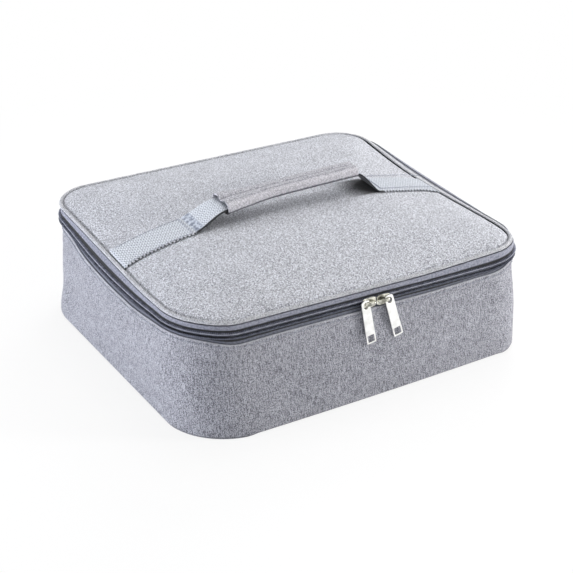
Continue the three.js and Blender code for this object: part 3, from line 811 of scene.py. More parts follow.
# %% Wall cloth
hem_depth = 4.2 * mm
hem_thickness = 0.45 * mm
belly_depth = 1.1 * mm
foot_turn_height = 4.6 * mm


def wall_face(height):
    """Spread of the wall's face: a straight lean from the foot to the top edge."""
    return foot_spread + (wall_top_spread - foot_spread) * height / wall_top


def dents(walk, line, depth):
    """Shallow waves over a wall: products of slow sines along the stations and up the wall."""
    height = line[:, 1][None, :] / wall_top
    around = np.arange(len(walk.share))[:, None] / len(whole_walk.share) * 2 * np.pi
    waves = np.sin(7 * around + 3.1 * height + 0.8) * np.sin(2.6 * height + 0.4)
    waves += 0.6 * np.sin(17 * around + 1.7 - 5 * height) * np.sin(4.2 * height + 1.1)
    waves += 0.35 * np.sin(41 * around + 6 * height)
    return depth * waves * smooth_step(height, 0.04, 0.3) * smooth_step(height, 1.0, 0.8)


def wall_line(upper_points, first_share, steps, count):
    """The cloth's outer line: from its upper points it runs down with a slight belly, a half sine, and
    turns in to the bottom seam."""
    belly = [
        (wall_face(wall_top * share) + belly_depth * math.sin(math.pi * share), wall_top * share)
        for share in np.linspace(first_share, 0.12, steps)
    ]
    foot = [
        (wall_face(foot_turn_height) + 0.2 * mm, foot_turn_height),
        (foot_spread + 0.1 * mm, 2.5 * mm),
        (foot_spread - 0.6 * mm, 1.3 * mm),
    ]
    return spline([*upper_points, *belly, *foot], count)


hem_foot = wall_top - hem_depth
hem_points = [
    (wall_face(wall_top) - 0.35 * mm, wall_top + 0.25 * mm),
    (wall_face(wall_top) + hem_thickness, wall_top - 0.35 * mm),
    (wall_face(wall_top) + hem_thickness + 0.1 * mm, wall_top - hem_depth / 2),
    (wall_face(hem_foot) + hem_thickness, hem_foot),
    (wall_face(hem_foot) + 0.05 * mm, hem_foot - 1.2 * mm),
]
side_line = wall_line(hem_points, first_share=0.9, steps=9, count=64)
side_dents = dents(sides_walk, side_line, depth=0.8 * mm)
wall_cloth = layer("wall_cloth", sides_walk, side_line, cloth_thickness, side_dents)
dressed(wall_cloth, "bag", wall_cloth_finish, "body_cloth", "side_wall")

# %% [markdown]
# ## The back and its hinge
# At the back the cloth runs on past the zip's height up to the piping, and its fold is the lid's hinge.
# It is one piece from the bag up to the lid, and its line runs down from the hinge's top past the fold.

# %% Back cloth
back_heights = (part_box("hinge_panel")[1].z, fold_height + 4 * mm)
back_points = [(wall_face(height), height) for height in back_heights]
back_points.append((wall_face(fold_height) - 0.3 * mm, fold_height))
rear_line = wall_line(back_points, first_share=0.96, steps=10, count=72)
rear_dents = dents(back_walk, rear_line, depth=0.4 * mm)
back_cloth = layer("back_cloth", back_walk, rear_line, cloth_thickness, rear_dents)
dressed(back_cloth, None, wall_cloth_finish, "body_cloth", "back_panel", "hinge_panel")
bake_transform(back_cloth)

# %% [markdown]
# ## Flat layers with a rounded outline
# The lid, the bottom and their foam and lining are slabs over the same rounded outline. Columns lie
# along X, closer together in the corners, and each runs from the front edge to the back edge. A crown
# lifts the lid: its height depends only on how far a point lies in from the seam. Inner outlines grow
# rounder towards the middle, so that distance is found by halving an interval until it fits.

# %% Slabs
slab_columns, slab_rows, slab_corner_columns = 104, 96, 22


def edge_y(x, spread, height, side):
    """Y of the front (-1) or back (1) edge at each x: a quarter circle near each corner."""
    y = np.full_like(x, half_depth + spread)
    for (sign_x, sign_y), radius in zip(corner_signs, corner_radius(spread, height)[:, 0]):
        if sign_y == side:
            past = np.clip(sign_x * x - (half_width + spread - radius), 0, radius)
            y -= radius - np.sqrt(np.maximum(radius**2 - past**2, 0))
    return side * y


def slab_places(spread, height):
    """X and Y of a grid that fills the rounded outline at a spread and a height."""
    reach = corner_radii.max() + 10 * mm
    half = half_width + spread
    corner = half - reach * (1 - np.sin(np.linspace(0, np.pi / 2, slab_corner_columns)))
    middle = np.linspace(reach - half, half - reach, slab_columns - 2 * slab_corner_columns + 2)[1:-1]
    x = np.concatenate([-corner[::-1], middle, corner])
    front, back = (edge_y(x, spread, height, side) for side in (-1, 1))
    even = np.linspace(0, 1, slab_rows)[:, None]
    share = 0.6 * even + 0.4 * (0.5 - 0.5 * np.cos(np.pi * even))
    y = front + (back - front) * share
    return x + 0 * y, y


def inset_of(x, y):
    """How far in from the seam each point lies, on outlines whose corners grow rounder inwards."""
    seam_radius = corner_radii[np.where(x > 0, np.where(y > 0, 0, 1), np.where(y > 0, 3, 2))]
    low = np.full_like(x, -10 * mm)
    high = np.full_like(x, half_depth - 1 * mm)
    for _ in range(30):
        inset = (low + high) / 2
        radius = np.minimum(seam_radius + 0.3 * inset, half_depth - inset)
        over_x = np.abs(x) - (half_width - inset - radius)
        over_y = np.abs(y) - (half_depth - inset - radius)
        past_corner = np.hypot(np.maximum(over_x, 0), np.maximum(over_y, 0))
        inside = past_corner + np.minimum(np.maximum(over_x, over_y), 0) < radius
        low = np.where(inside, inset, low)
        high = np.where(inside, high, inset)
    return (low + high) / 2


def slab(name, x, y, top, bottom):
    """A closed body between two heights over one grid of places."""
    return shell(name, settled(np.stack([x, y, top], -1)), settled(np.stack([x, y, bottom], -1)))


# %% [markdown]
# ## The lid
# The lid's cloth is drawn over 5 mm of foam. It is level in the middle, drops to the seam, and has faint
# waves where the foam gives. Foam and lining lie under it at their own depths.

# %% Lid cloth, foam and lining
lid_edge_spread = 1.9 * mm
lid_inner_spread = -0.3 * mm


def lid_rise(x, y):
    """Height of the lid over its seam: a quarter sine of the inset, then level."""
    return lid_crown * np.sin(np.pi / 2 * np.clip(inset_of(x, y) / lid_crown_reach, 0, 1))


def lid_waves(x, y):
    """Faint unevenness of the padded lid, fading to nothing at the seam, where the cloth dips into the
    groove beside the piping."""
    inset = inset_of(x, y)
    waves = np.sin(x / (31 * mm) + 0.5) * np.sin(y / (27 * mm) + 1.2)
    waves += 0.6 * np.sin(x / (17 * mm) - y / (38 * mm) + 2.0)
    dip = 2.4 * mm * smooth_step(inset, 0.8 * mm, -lid_edge_spread) ** 1.5
    return 0.22 * mm * waves * rise(inset, 2, 30) - dip


def lid_layer(name, node, spread, thickness, material, slot):
    """One layer of the lid, as far below its top face as its CAD node lies."""
    x, y = slab_places(spread, seam_height)
    depth = lid_high.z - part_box(node)[1].z
    top = seam_height + lid_rise(x, y) + lid_waves(x, y) - depth
    return dressed(slab(name, x, y, top, top - thickness), "lid", material, slot, node)


lid_layer("lid_cloth", "lid_panel", lid_edge_spread, cloth_thickness, lid_cloth_finish, "lid_cloth")
lid_pad = lid_layer("lid_foam_pad", "lid_foam", lid_inner_spread, foam_thickness, foam_material, "foam")
lid_layer("lid_lining_film", "lid_lining", lid_inner_spread, film_thickness, film_material, "lining")

# %% [markdown]
# ## The bottom
# The bottom cloth is flat on the table, and its edge turns up to the seam with the wall. Its foam and
# lining are the same slab, thicker and thinner.

# %% Bottom cloth, foam and lining
bottom_edge_radius = 0.9 * mm


def bottom_layer(name, spread, low, thickness, edge_radius=0.0):
    """A flat layer near the ground, whose edge turns up by the edge radius."""
    x, y = slab_places(spread, low + thickness / 2)
    if edge_radius:
        rim = np.clip(1 - (inset_of(x, y) + spread) / edge_radius, 0, 1)
        low = low + edge_radius * (1 - np.sqrt(1 - rim**2))
    return slab(name, x, y, low + thickness + 0 * x, low + 0 * x)


bottom_cloth = bottom_layer(
    "bottom_cloth", foot_spread - bottom_edge_radius, 0.0, cloth_thickness, bottom_edge_radius
)
dressed(bottom_cloth, "bag", wall_cloth_finish, "body_cloth", "bottom_panel")
for name, node, material, slot in [
    ("bottom_foam_pad", "bottom_foam", foam_material, "foam"),
    ("bottom_lining_film", "bottom_lining", film_material, "lining"),
]:
    low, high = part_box(node)
    inner_layer = bottom_layer(name, high.x - half_width - 0.4 * mm, low.z, high.z - low.z)
    dressed(inner_layer, "bag", material, slot, node)
print("bottom cloth lowest point in mm:", round(mesh_points(bottom_cloth.data)[:, 2].min() / mm, 2))

# %% [markdown]
# ## Foam and lining of the wall
# These lie behind the cloth and show when the lid is open. Foam has rounded edges, and the lining is a
# thin film in front of it. The foam is a closed section of (spread, height) points carried round the bag
# or across its back, and the film a line with a thickness.

# %% Sections carried along a walk


def ring_section(inner, outer, low, high, bend, lean=0.0):
    """A rectangle in spread and height with rounded corners. The lean moves its foot outwards."""
    bend = min(bend, (outer - inner) / 2, (high - low) / 2)
    ring = []
    for corner, (outwards, upwards) in enumerate([(1, 1), (0, 1), (0, 0), (1, 0)]):
        angle = np.linspace(0, np.pi / 2, 4) + corner * np.pi / 2
        spread = outer - bend if outwards else inner + bend
        height = high - bend if upwards else low + bend
        ring.append(np.stack([spread + bend * np.cos(angle), height + bend * np.sin(angle)], -1))
    ring = np.concatenate(ring)
    ring[:, 0] += lean * (high - ring[:, 1])
    return ring


def subdivided(ring, step=6 * mm):
    """The closed ring with extra points on its long straight parts, and an even count of points."""
    pieces = []
    for start, stop in zip(ring, np.roll(ring, -1, axis=0)):
        count = max(1, round(float(np.linalg.norm(stop - start)) / step))
        pieces.append(start + (stop - start) * np.arange(count)[:, None] / count)
    points = np.vstack(pieces)
    return points if len(points) % 2 == 0 else np.vstack([points, (points[-1] + ring[0]) / 2])


def hoop(name, walk, section):
    """A closed section carried along a walk, and joined into a hoop on the walk round the whole bag."""
    return surface(name, carried(walk, section), loop_rows=walk is whole_walk)


# %% Foam and lining
wall_lean = (foot_spread - wall_top_spread) / wall_top
foam_low, foam_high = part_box("side_foam")
foam_outer = foam_high.x - half_width - wall_lean * (foam_high.z - foam_low.z)
foam_inner = foam_outer - foam_thickness
foam_ring = ring_section(foam_inner, foam_outer, foam_low.z, foam_high.z, 1.6 * mm, wall_lean)
foam_section = subdivided(foam_ring)
lining_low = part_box("side_lining")[0].z


def wall_film(name, walk, node, top_points=()):
    """The lining: its face runs down from the rim, just inside the foam, with low ripples, which are a
    product of two sines."""
    heights = np.linspace(foam_high.z, lining_low, 14)
    down = np.stack([foam_inner - clearance + wall_lean * (foam_high.z - heights), heights], -1)
    line = np.vstack([np.array(top_points).reshape(-1, 2), down])
    around = np.arange(len(walk.share))[:, None]
    ripples = 0.25 * mm * np.sin(around * 0.9) * np.sin(line[:, 1] / (9 * mm))[None, :]
    dressed(layer(name, walk, line, film_thickness, ripples), "bag", film_material, "lining", node)


for side, walk in [("side", sides_walk), ("back", back_walk)]:
    pad = hoop(f"{side}_foam_pad", walk, foam_section)
    dressed(pad, "bag", foam_material, "foam", f"{side}_foam")
back_lining_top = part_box("back_lining")[1]
lining_end = back_lining_top.y - half_depth
lining_lip = [
    (lining_end, back_lining_top.z), (lining_end, wall_top + 0.6 * mm),
    (lining_end - 1.2 * mm, wall_top + 0.1 * mm),
]
wall_film("side_lining_film", sides_walk, "side_lining")
wall_film("back_lining_film", back_walk, "back_lining", lining_lip)

# %% [markdown]
# ## Binding tapes
# Binding tape covers the raw edges inside: round the rim, round the bottom seam and the lid seam, and up
# the two back seams. The first three are rounded sections carried round the bag, and the upright ones
# are flat strips, thick enough to reach from the lining to the wall.

# %% Rounded sections


def full_turn(count):
    """Angles at even steps round a circle."""
    return np.linspace(0, 2 * np.pi, count, endpoint=False)


def fuller(wave, power):
    """A sine or cosine with fuller humps: its size to a power below 1, and its sign kept. Two of them
    make a rounded oblong of what would be a circle."""
    return np.sign(wave) * np.abs(wave) ** power


# %% Bindings
binding_width = 2.4 * mm


def binding(name, body, node, walk, inner, outer, bend):
    """Binding tape round the bag between two spreads, as high as its CAD node."""
    low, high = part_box(node)
    tape = hoop(name, walk, ring_section(inner, outer, low.z, high.z, bend))
    dressed(tape, body, binding_material, "seam_binding", node)


binding("rim_tape", "bag", "rim_binding", sides_walk, foam_inner - film_thickness - clearance,
        tape_outer - tape_thickness - clearance, 0.8 * mm)
for name, body, node in [
    ("floor_seam_tape", "bag", "bottom_seam_binding"),
    ("lid_seam_tape", "lid", "lid_seam_binding"),
]:
    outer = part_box(node)[1].x - half_width
    binding(name, body, node, whole_walk, outer - binding_width, outer, 1.1 * mm)


def upright_tape(side):
    """Binding over an upright back seam: a flat strip with rounded edges, from floor to rim."""
    node = f"back_seam_binding_{side}"
    low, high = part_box(node)
    z = np.linspace(low.z, high.z, 30)[:, None]
    turn = full_turn(20)
    half_depth_of_tape = 0.8 * mm
    across = fuller(np.cos(turn), 0.5) * (high.x - low.x) / 2
    deep = fuller(np.sin(turn), 0.7) * half_depth_of_tape
    lean = (high.y - low.y - 2 * half_depth_of_tape) * (1 - (z - low.z) / (high.z - low.z))
    x = (low.x + high.x) / 2 + across + 0 * z
    y = low.y + half_depth_of_tape + lean + deep
    tape = surface(f"upright_seam_tape_{side}", settled(np.stack([x, y, z + 0 * across], -1)))
    dressed(tape, "bag", binding_material, "seam_binding", node)


for side in ("left", "right"):
    upright_tape(side)

# %% [markdown]
# ## Piping
# The piping is a cord in a strip of the cloth's bias, sewn into the lid seam. Its thickness changes a
# little along its length, as the cord bunches at the stitches: each ring is scaled about its middle.

# %% Piping
pipe_low, pipe_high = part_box("lid_piping")
pipe_radius = 1.5 * mm
pipe_height = pipe_low.z + pipe_radius + 0.25 * mm
pipe_spread = pipe_high.x - half_width - pipe_radius + 0.1 * mm
pipe_turn = full_turn(14)
pipe_circle = pipe_radius * np.stack([np.cos(pipe_turn), np.sin(pipe_turn)], -1)
fine_walk = Walk([*side_legs(1.5 * mm, 30), back_leg(np.arange(160) / 160)])
pipe_grid = carried(fine_walk, pipe_circle + [pipe_spread, pipe_height])
pipe_middle = pipe_grid.mean(axis=1, keepdims=True)
station = np.arange(len(pipe_grid))[:, None, None]
swelling = 1 + 0.035 * np.sin(station * 1.27) + 0.025 * np.sin(station * 0.41 + 1)
pipe = surface("piping_cord", pipe_middle + (pipe_grid - pipe_middle) * swelling, loop_rows=True)
dressed(pipe, "lid", piping_finish, "piping", "lid_piping")

# %% [markdown]
# ## The zip
# Two tapes, and on each a coil sewn down with thread, slate on the lid's half; on the bag's half thread
# and tape are darker copies, as painted shade under the chain. The coil is one plastic spiral, and only
# its outer arms show, so each turn is a small bent bead: it rises from the tape, crosses under the thread
# and ends in a head at the middle. The heads stop short of the middle line, where the sliders' posts
# pass.

# %% Zip tapes
chain_height = (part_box("zip_tape_lower")[1].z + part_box("zip_tape_upper")[0].z) / 2


def zip_tape(name, body, node, material, count):
    """A tape as high as its CAD node, upright, round the zipped sides."""
    low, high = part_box(node)
    line = np.stack([np.full(count, tape_outer), np.linspace(high.z, low.z, count)], -1)
    dressed(layer(name, sides_walk, line, tape_thickness), body, material, "zip_tape", node)


# The bag's tape takes the darker copy: painted shade under the chain.
zip_tape("lower_tape", "bag", "zip_tape_lower", shaded_lower_tape_material, count=16)
zip_tape("upper_tape", "lid", "zip_tape_upper", upper_tape_material, count=12)

# %% Many copies of a small shape


def repeated(name, shape, faces, places, along, across, up):
    """One mesh of many copies of a small shape. The shape's X, Y and Z lie along, across and up at each
    place, and all copies are worked out in one product of arrays."""
    axes = np.stack([along, across, up], axis=1)
    points = places[:, None] + np.einsum("vk,nkj->nvj", shape, axes)
    offsets = np.arange(len(places))[:, None, None] * len(shape)
    return link_mesh(name, points, (faces[None] + offsets).reshape(-1, 4))


def bead(path, radii, sides=6, flatness=1.0):
    """A small closed tube along a path in the X-Z plane: circles round each path point, squashed in Y by
    the flatness, and small at both ends. Gives its points and quads."""
    turn = full_turn(sides)
    run = unit(np.gradient(path, axis=0))
    radii = radii[:, None]
    x = path[:, :1] - radii * np.cos(turn) * run[:, 1:]
    z = path[:, 1:] + radii * np.cos(turn) * run[:, :1]
    y = radii * flatness * np.sin(turn) + 0 * x
    return np.stack([x, y, z], axis=-1).reshape(-1, 3), grid_faces(len(path), sides)[0]


# %% Zip coils
coil_pitch = 1.5 * mm
tooth_path = np.array([(3.02, -0.2), (2.92, 0.75), (2.2, 1.12), (1.3, 1.2), (0.78, 0.9), (0.7, 0.2)]) * mm
tooth_radii = np.array([0.34, 0.44, 0.5, 0.5, 0.5, 0.34]) * mm
tooth_shape, tooth_faces = bead(tooth_path, tooth_radii, flatness=1.15)


def along_walk(spread, height, pitch, shift=0.0):
    """Places at an even pitch along the zipped sides, with the directions along them and outwards."""
    line = carried(sides_walk, [(spread, height)])[:, 0]
    distance = np.concatenate([[0], np.cumsum(np.linalg.norm(np.diff(line, axis=0), axis=1))])
    at = np.arange(pitch * (0.5 + shift), distance[-1] - 0.4 * pitch, pitch)

    def point(distances):
        return np.stack([np.interp(distances, distance, line[:, axis]) for axis in range(3)], -1)

    run = unit(point(at + 0.1 * mm) - point(at - 0.1 * mm))
    return point(at), run, np.stack([-run[:, 1], run[:, 0], 0 * run[:, 0]], -1)


def coil(name, body, node, side, reach):
    """One half of the zip's coil. The side is 1 for the lid's half and -1 for the bag's, and the reach
    scales the turns across the tape."""
    places, run, out = along_walk(tape_outer, chain_height, coil_pitch, 0.25 * side)
    shape = tooth_shape * [reach, 1, 1] + [1.0 * mm - 0.7 * mm * reach, 0, 0]
    towards_tape = 0 * run + [0, 0, side]
    teeth = repeated(name, shape, tooth_faces, places, towards_tape, run, out)
    dressed(teeth, body, coil_material, "zip_coil", node)
    print("turns:", len(places))


coil("lower_coil_turns", "bag", "zip_coil_lower", side=-1, reach=0.5)
coil("upper_coil_turns", "lid", "zip_coil_upper", side=1, reach=0.86)

# %% [markdown]
# ## Threads and topstitching
# A thread holds each half of the coil, and a row of stitches holds the folded top edge of the wall. A
# stitch is a short bead that comes out of the cloth, lies on it and goes back in, and a row is many
# copies of it in one mesh.

# %% Threads and stitches
stitch_path = np.array([(-0.5, -1), (-0.42, 0.2), (-0.2, 0.8), (0.2, 0.8), (0.42, 0.2), (0.5, -1)])
stitch_radii = np.array([0.5, 0.95, 1, 1, 0.95, 0.5])


def stitches(name, length, radius, places, along, up):
    """Many stitches in one mesh, each lying along a direction with the cloth's outward side up."""
    shape, faces = bead(stitch_path * [length, radius], stitch_radii * radius)
    return repeated(name, shape, faces, places, along, np.cross(up, along), up)


def stitch_row(name, body, material, slot, spread, height, pitch, length, radius):
    places, run, out = along_walk(spread, height, pitch)
    row = stitches(name, length, radius, places, run, np.cross(run, np.cross(out, run)))
    dressed(row, body, material, slot)


thread_spread = tape_outer + 1.62 * mm
# The bag's coil thread is the darker copy, as painted shade under the chain.
for offset, body, thread in [(-1.5 * mm, "bag", shaded_coil_thread), (2.3 * mm, "lid", slate_thread)]:
    stitch_row(
        f"{body}_coil_thread", body, thread, "zip_tape", thread_spread, chain_height + offset,
        pitch=coil_pitch, length=1.3 * mm, radius=0.3 * mm,
    )
hem_stitch_height = wall_top - 2.6 * mm
hem_stitch_spread = wall_face(hem_stitch_height) + hem_thickness + 0.2 * mm
stitch_row(
    "wall_hem_stitches", "bag", slate_thread, "body_cloth", hem_stitch_spread, hem_stitch_height,
    pitch=3.2 * mm, length=2.5 * mm, radius=0.26 * mm,
)

# %% [markdown]
# ## Webbing
# A strap comes out of each end of the lid's seam, lies stitched on the lid as far as the foot of the
# handle, and climbs from there to the grip. The ribs across it are part of its surface: a sine along its
# length that fades out at the edges. Towards the grip the strap narrows and cups, because the sleeve
# squeezes it. One mesh holds the stitched and the free part.

# %% Webbing sizes and the lines it follows
webbing_middle = -5 * mm
webbing_thickness = 1.4 * mm
webbing_half_width = 15 * mm
webbing_columns = 25
webbing_row_step = 0.28 * mm
webbing_gap = 0.2 * mm
rib_depth = 0.03 * mm
stitch_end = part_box("webbing_anchor_right")[0].x
grip_left, grip_right = (corner.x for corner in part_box("grip_sleeve"))


def sample_height(node, x):
    """Height of the middle of a CAD node's points within 1 mm of an X position."""
    points = mesh_points(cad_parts[node].data)
    heights = points[np.abs(points[:, 0] - x) < mm, 2]
    return float((heights.min() + heights.max()) / 2)


grip_left_height, grip_right_height = (sample_height("grip_sleeve", x) for x in (grip_left, grip_right))


def grip_middle(x):
    """Height of the grip's middle line: a climb to the right with a low arch on it."""
    share = np.clip((x - grip_left) / (grip_right - grip_left), -0.1, 1.1)
    chord = grip_left_height + (grip_right_height - grip_left_height) * share
    return chord + 0.8 * mm * np.sin(np.pi * share)


def lid_top(x, y):
    height = seam_height + lid_rise(x, y) + lid_waves(x, y)
    return height + lid_lift(x, y, height)


def climb(share, start, stop, start_slope):
    """A cubic from one value to another that leaves with a given slope and arrives level."""
    square = share * share
    cube = square * share
    leaving = (2 * cube - 3 * square + 1) * start + (cube - 2 * square + share) * start_slope
    return leaving + (3 * square - 2 * cube) * stop


# %% Straps


def strap(name, material, side, grip_x, mouth_half, cup, drift, nodes):
    """The webbing on one side, from the lid's seam to just inside the grip. It lies a drift nearer to the
    front than the grip does. Its half width shrinks to that of the mouth, its middle line leaves the lid
    in a cubic, and its edges sink by the cup times the square of the distance across."""
    start_x = half_width + 1.3 * mm
    inside = abs(grip_x) - 3 * mm
    reach = np.linspace(start_x, inside, round((start_x - inside) / webbing_row_step))[:, None]
    across = np.linspace(-1, 1, webbing_columns)[None, :]
    free_length = stitch_end - abs(grip_x)
    free = np.clip((stitch_end - reach) / free_length, 0, 1)
    half = webbing_half_width + (mouth_half - webbing_half_width) * smooth_step(free, 0.0, 1.0)
    flare = 1.6 * mm * smooth_step(reach, half_width - 12 * mm, half_width) * np.clip(-across, 0, 1)
    y = webbing_middle + across * half - flare - drift * smooth_step(reach, abs(grip_x), stitch_end)
    x = side * reach + 0 * y
    on_lid = lid_top(x, y) + webbing_gap + webbing_thickness / 2
    lifted = climb(free, on_lid, grip_middle(x), 0.125 * free_length)
    middle = np.where(free > 0, lifted, on_lid) - cup * free**2 * across**2
    steps = np.hypot(np.diff(reach[:, 0]), np.diff(middle[:, webbing_columns // 2]))
    distance = np.concatenate([[0], np.cumsum(steps)])
    ribs = rib_depth * np.sin(2 * np.pi * distance / webbing_rib)[:, None] * (1 - across**8)
    edge = np.sqrt(np.clip(1 - np.abs(across) ** 14, 0.05, 1))
    lift = webbing_thickness / 2 * edge + ribs
    drawn = x - seam_draw(x, y, on_lid)
    top, bottom = (np.stack([drawn, y, middle + way * lift], -1) for way in (1, -1))
    webbing = shell(name, top, bottom, distance, strap_round * mm)
    dressed(webbing, None, material, "webbing", *nodes)
    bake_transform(webbing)


strap(
    "left_strap", tacked_webbing_material, -1, grip_left, mouth_half=13 * mm, cup=0.8 * mm, drift=0.0,
    nodes=("webbing_anchor_left", "webbing_riser_left"),
)
strap(
    "right_strap", webbing_material, 1, grip_right, mouth_half=8.3 * mm, cup=2.6 * mm, drift=3.5 * mm,
    nodes=("webbing_anchor_right", "webbing_riser_right"),
)
print("grip ends in mm:", round(grip_left / mm, 1), round(grip_right / mm, 1),
      "heights:", round(grip_left_height / mm, 2), round(grip_right_height / mm, 2))

# %% Stitches on the webbing
strap_stitch_pitch, strap_stitch_length, strap_stitch_radius = 3.4 * mm, 2.4 * mm, 0.3 * mm


def strap_stitches(name, side):
    """Rows along both edges of the stitched part, and a row across its inner end. Each stitch lies in the
    slope of the lid, which is measured over a small step."""
    along_x = np.arange(stitch_end + 2.5 * mm, half_width - 2 * mm, strap_stitch_pitch)
    row_y = webbing_middle + np.array([-1, 1]) * (webbing_half_width - 1.8 * mm)
    across_y = np.arange(row_y[0] + 1.6 * mm, row_y[1], strap_stitch_pitch * 0.8)
    across_x = np.full(len(across_y), stitch_end + 1.6 * mm)
    x = side * np.concatenate([along_x, along_x, across_x])
    y = np.concatenate([np.repeat(row_y, len(along_x)), across_y])
    turned = np.arange(len(x)) >= 2 * len(along_x)
    step = 0.5 * mm
    slope = (lid_top(x + step, y) - lid_top(x - step, y)) / (2 * step)
    nothing, whole = np.zeros_like(x), np.ones_like(x)
    along = unit(np.where(turned[:, None], [0, 1, 0], np.stack([whole, nothing, slope], -1)))
    up = unit(np.stack([-slope, nothing, whole], -1))
    places = np.stack([x, y, lid_top(x, y) + webbing_gap + webbing_thickness], -1)
    row = stitches(name, strap_stitch_length, strap_stitch_radius, places, along, up)
    dressed(row, "lid", slate_thread, "webbing")


strap_stitches("left_strap_stitches", -1)
strap_stitches("right_strap_stitches", 1)

# %% [markdown]
# ## The grip
# A sleeve of the bag's cloth is folded round the strap and its padding. At its left mouth it is as wide
# as the strap, flat and pinched in the middle, and it tapers to a rounded bar. A crease runs along its
# top where the folded edges meet. Cover, foam and strap are rings along one middle line, each set in
# from the last.

# %% Grip
grip_thickness = 8.4 * mm
grip_mouth_half = 13.75 * mm
grip_half = 9 * mm
grip_cloth_thickness = 0.9 * mm
grip_rows = grip_columns = 110


def grip_half_width(x):
    narrowing = smooth_step(x, grip_left, grip_left + 45 * mm)
    return grip_mouth_half + (grip_half - grip_mouth_half) * narrowing


def grip_rings(start, stop, inset, half_thickness, wrinkled=1.0):
    """Rounded oblong rings along the grip, set in from its outer size. The crease is a bell curve across
    the top, the wrinkles are products of sines, and the pinch a bell curve that grows to the mouth."""
    x = np.linspace(start, stop, grip_rows)[:, None]
    turn = full_turn(grip_columns)[None, :]
    across = fuller(np.cos(turn), 0.5)
    upward = fuller(np.sin(turn), 0.5)
    mouth = np.clip(1 - (x - grip_left) / (14 * mm), 0, 1) ** 2
    pinch = 1 + mouth * (0.3 - 0.9 * np.exp(-(across / 0.22) ** 2))
    crease = 0.8 * mm * np.exp(-((across - 0.2) / 0.08) ** 2) * (upward > 0.4)
    wrinkle = np.sin(x / (2.9 * mm) + 2.2 * across) * np.sin(x / (7.3 * mm) + 1.0 + across)
    wrinkle = 0.16 * mm * wrinkle * (1 + 1.5 * mouth) * (upward > 0)
    y = webbing_middle + across * (grip_half_width(x) - inset)
    z = grip_middle(x) + upward * half_thickness * pinch - wrinkled * (crease + wrinkle)
    return np.stack([x + 0 * y, y, z], -1)


def sleeve(name, outer, inner):
    """A tube with a wall, open at both ends: the rows run along its outside and back along its inside."""
    return surface(name, np.concatenate([outer, inner[::-1]]), loop_rows=True)


cover = sleeve(
    "grip_cover",
    grip_rings(grip_left, grip_right, 0, grip_thickness / 2),
    grip_rings(grip_left, grip_right, grip_cloth_thickness, grip_thickness / 2 - grip_cloth_thickness),
)
dressed(cover, "handle", grip_cloth_finish, "grip_cloth", "grip_sleeve")
pad_ends = (grip_left + 12 * mm, grip_right - 2 * mm)
grip_pad = sleeve(
    "grip_foam_tube",
    grip_rings(*pad_ends, 1.2 * mm, grip_thickness / 2 - 1.2 * mm),
    grip_rings(*pad_ends, 2.4 * mm, 1.4 * mm, wrinkled=0.0),
)
dressed(grip_pad, "handle", foam_material, "foam", "grip_padding")
run_x = np.linspace(grip_left + 4 * mm, grip_right - 4 * mm, 80)[:, None]
run_y = webbing_middle + np.linspace(-1, 1, 12)[None, :] * (grip_half_width(run_x) - 3.6 * mm)
run_z = grip_middle(run_x) + 0 * run_y
run_top, run_bottom = (
    np.stack([run_x + 0 * run_y, run_y, run_z + half], -1) for half in (0.6 * mm, -0.6 * mm)
)
grip_strap = shell("grip_strap", run_top, run_bottom, around=strap_round * mm)
dressed(grip_strap, "handle", webbing_material, "webbing", "grip_webbing")

# %% [markdown]
# ## Sliders and pulls
# The hardware is cast and plated, so no edge is sharp. The plates and pulls are flat outlines with a
# rounded bevel, holes included, which Blender's filled curves give, and the bridge is a swept bar with
# an arched path.

# %% Plates, outlines and bars


def plate(name, outlines, thickness, bevel, place, across, up):
    """A flat plate from closed outlines in its own plane, the first round the others as holes. Its
    middle lies at the place, and its X and Y run along across and up."""
    curve = bpy.data.curves.new(name, "CURVE")
    curve.dimensions = "2D"
    curve.fill_mode = "BOTH"
    curve.extrude = thickness / 2 - bevel
    curve.bevel_depth = bevel
    curve.bevel_resolution = 3
    curve.offset = -bevel
    for outline in outlines:
        closed_line = curve.splines.new("POLY")
        closed_line.points.add(len(outline) - 1)
        flat = np.column_stack([outline, np.zeros(len(outline)), np.ones(len(outline))])
        closed_line.points.foreach_set("co", flat.reshape(-1))
        closed_line.use_cyclic_u = True
    holder = placed(name + "_curve", curve)
    mesh = bpy.data.meshes.new_from_object(holder.evaluated_get(bpy.context.evaluated_depsgraph_get()))
    bpy.data.objects.remove(holder)
    points = mesh_points(mesh) @ np.stack([across, up, np.cross(across, up)]) + place
    mesh.vertices.foreach_set("co", points.reshape(-1))
    mesh.name = name
    return placed(name, mesh)


def rounded_outline(corners, radii, steps=8):
    """A closed polygon whose corners are soft arcs of about the given radii: each is a parabola that
    touches both sides. Corners run anticlockwise."""
    corners = np.asarray(corners, float)
    share = np.linspace(0, 1, steps)[:, None]
    outline = []
    towards_last, towards_next = (unit(np.roll(corners, way, axis=0) - corners) for way in (1, -1))
    for corner, before, after, radius in zip(corners, towards_last, towards_next, radii):
        reach = radius / math.tan(math.acos(float(np.clip(before @ after, -1, 1))) / 2)
        start, stop = corner + before * reach, corner + after * reach
        outline.append((1 - share) ** 2 * start + 2 * share * (1 - share) * corner + share**2 * stop)
    return np.vstack(outline)


def swept(name, path, widths, thickness, side_axis):
    """A bar along a path with a rounded oblong section."""
    path = np.asarray(path, float)
    square = np.cross(unit(np.gradient(path, axis=0)), side_axis)
    turn = full_turn(20)
    widths = np.broadcast_to(widths, len(path))[:, None, None] / 2
    wide = fuller(np.cos(turn), 0.7)[:, None] * widths * side_axis
    deep = fuller(np.sin(turn), 0.7)[:, None] * thickness / 2 * square[:, None]
    return surface(name, path[:, None] + wide + deep)


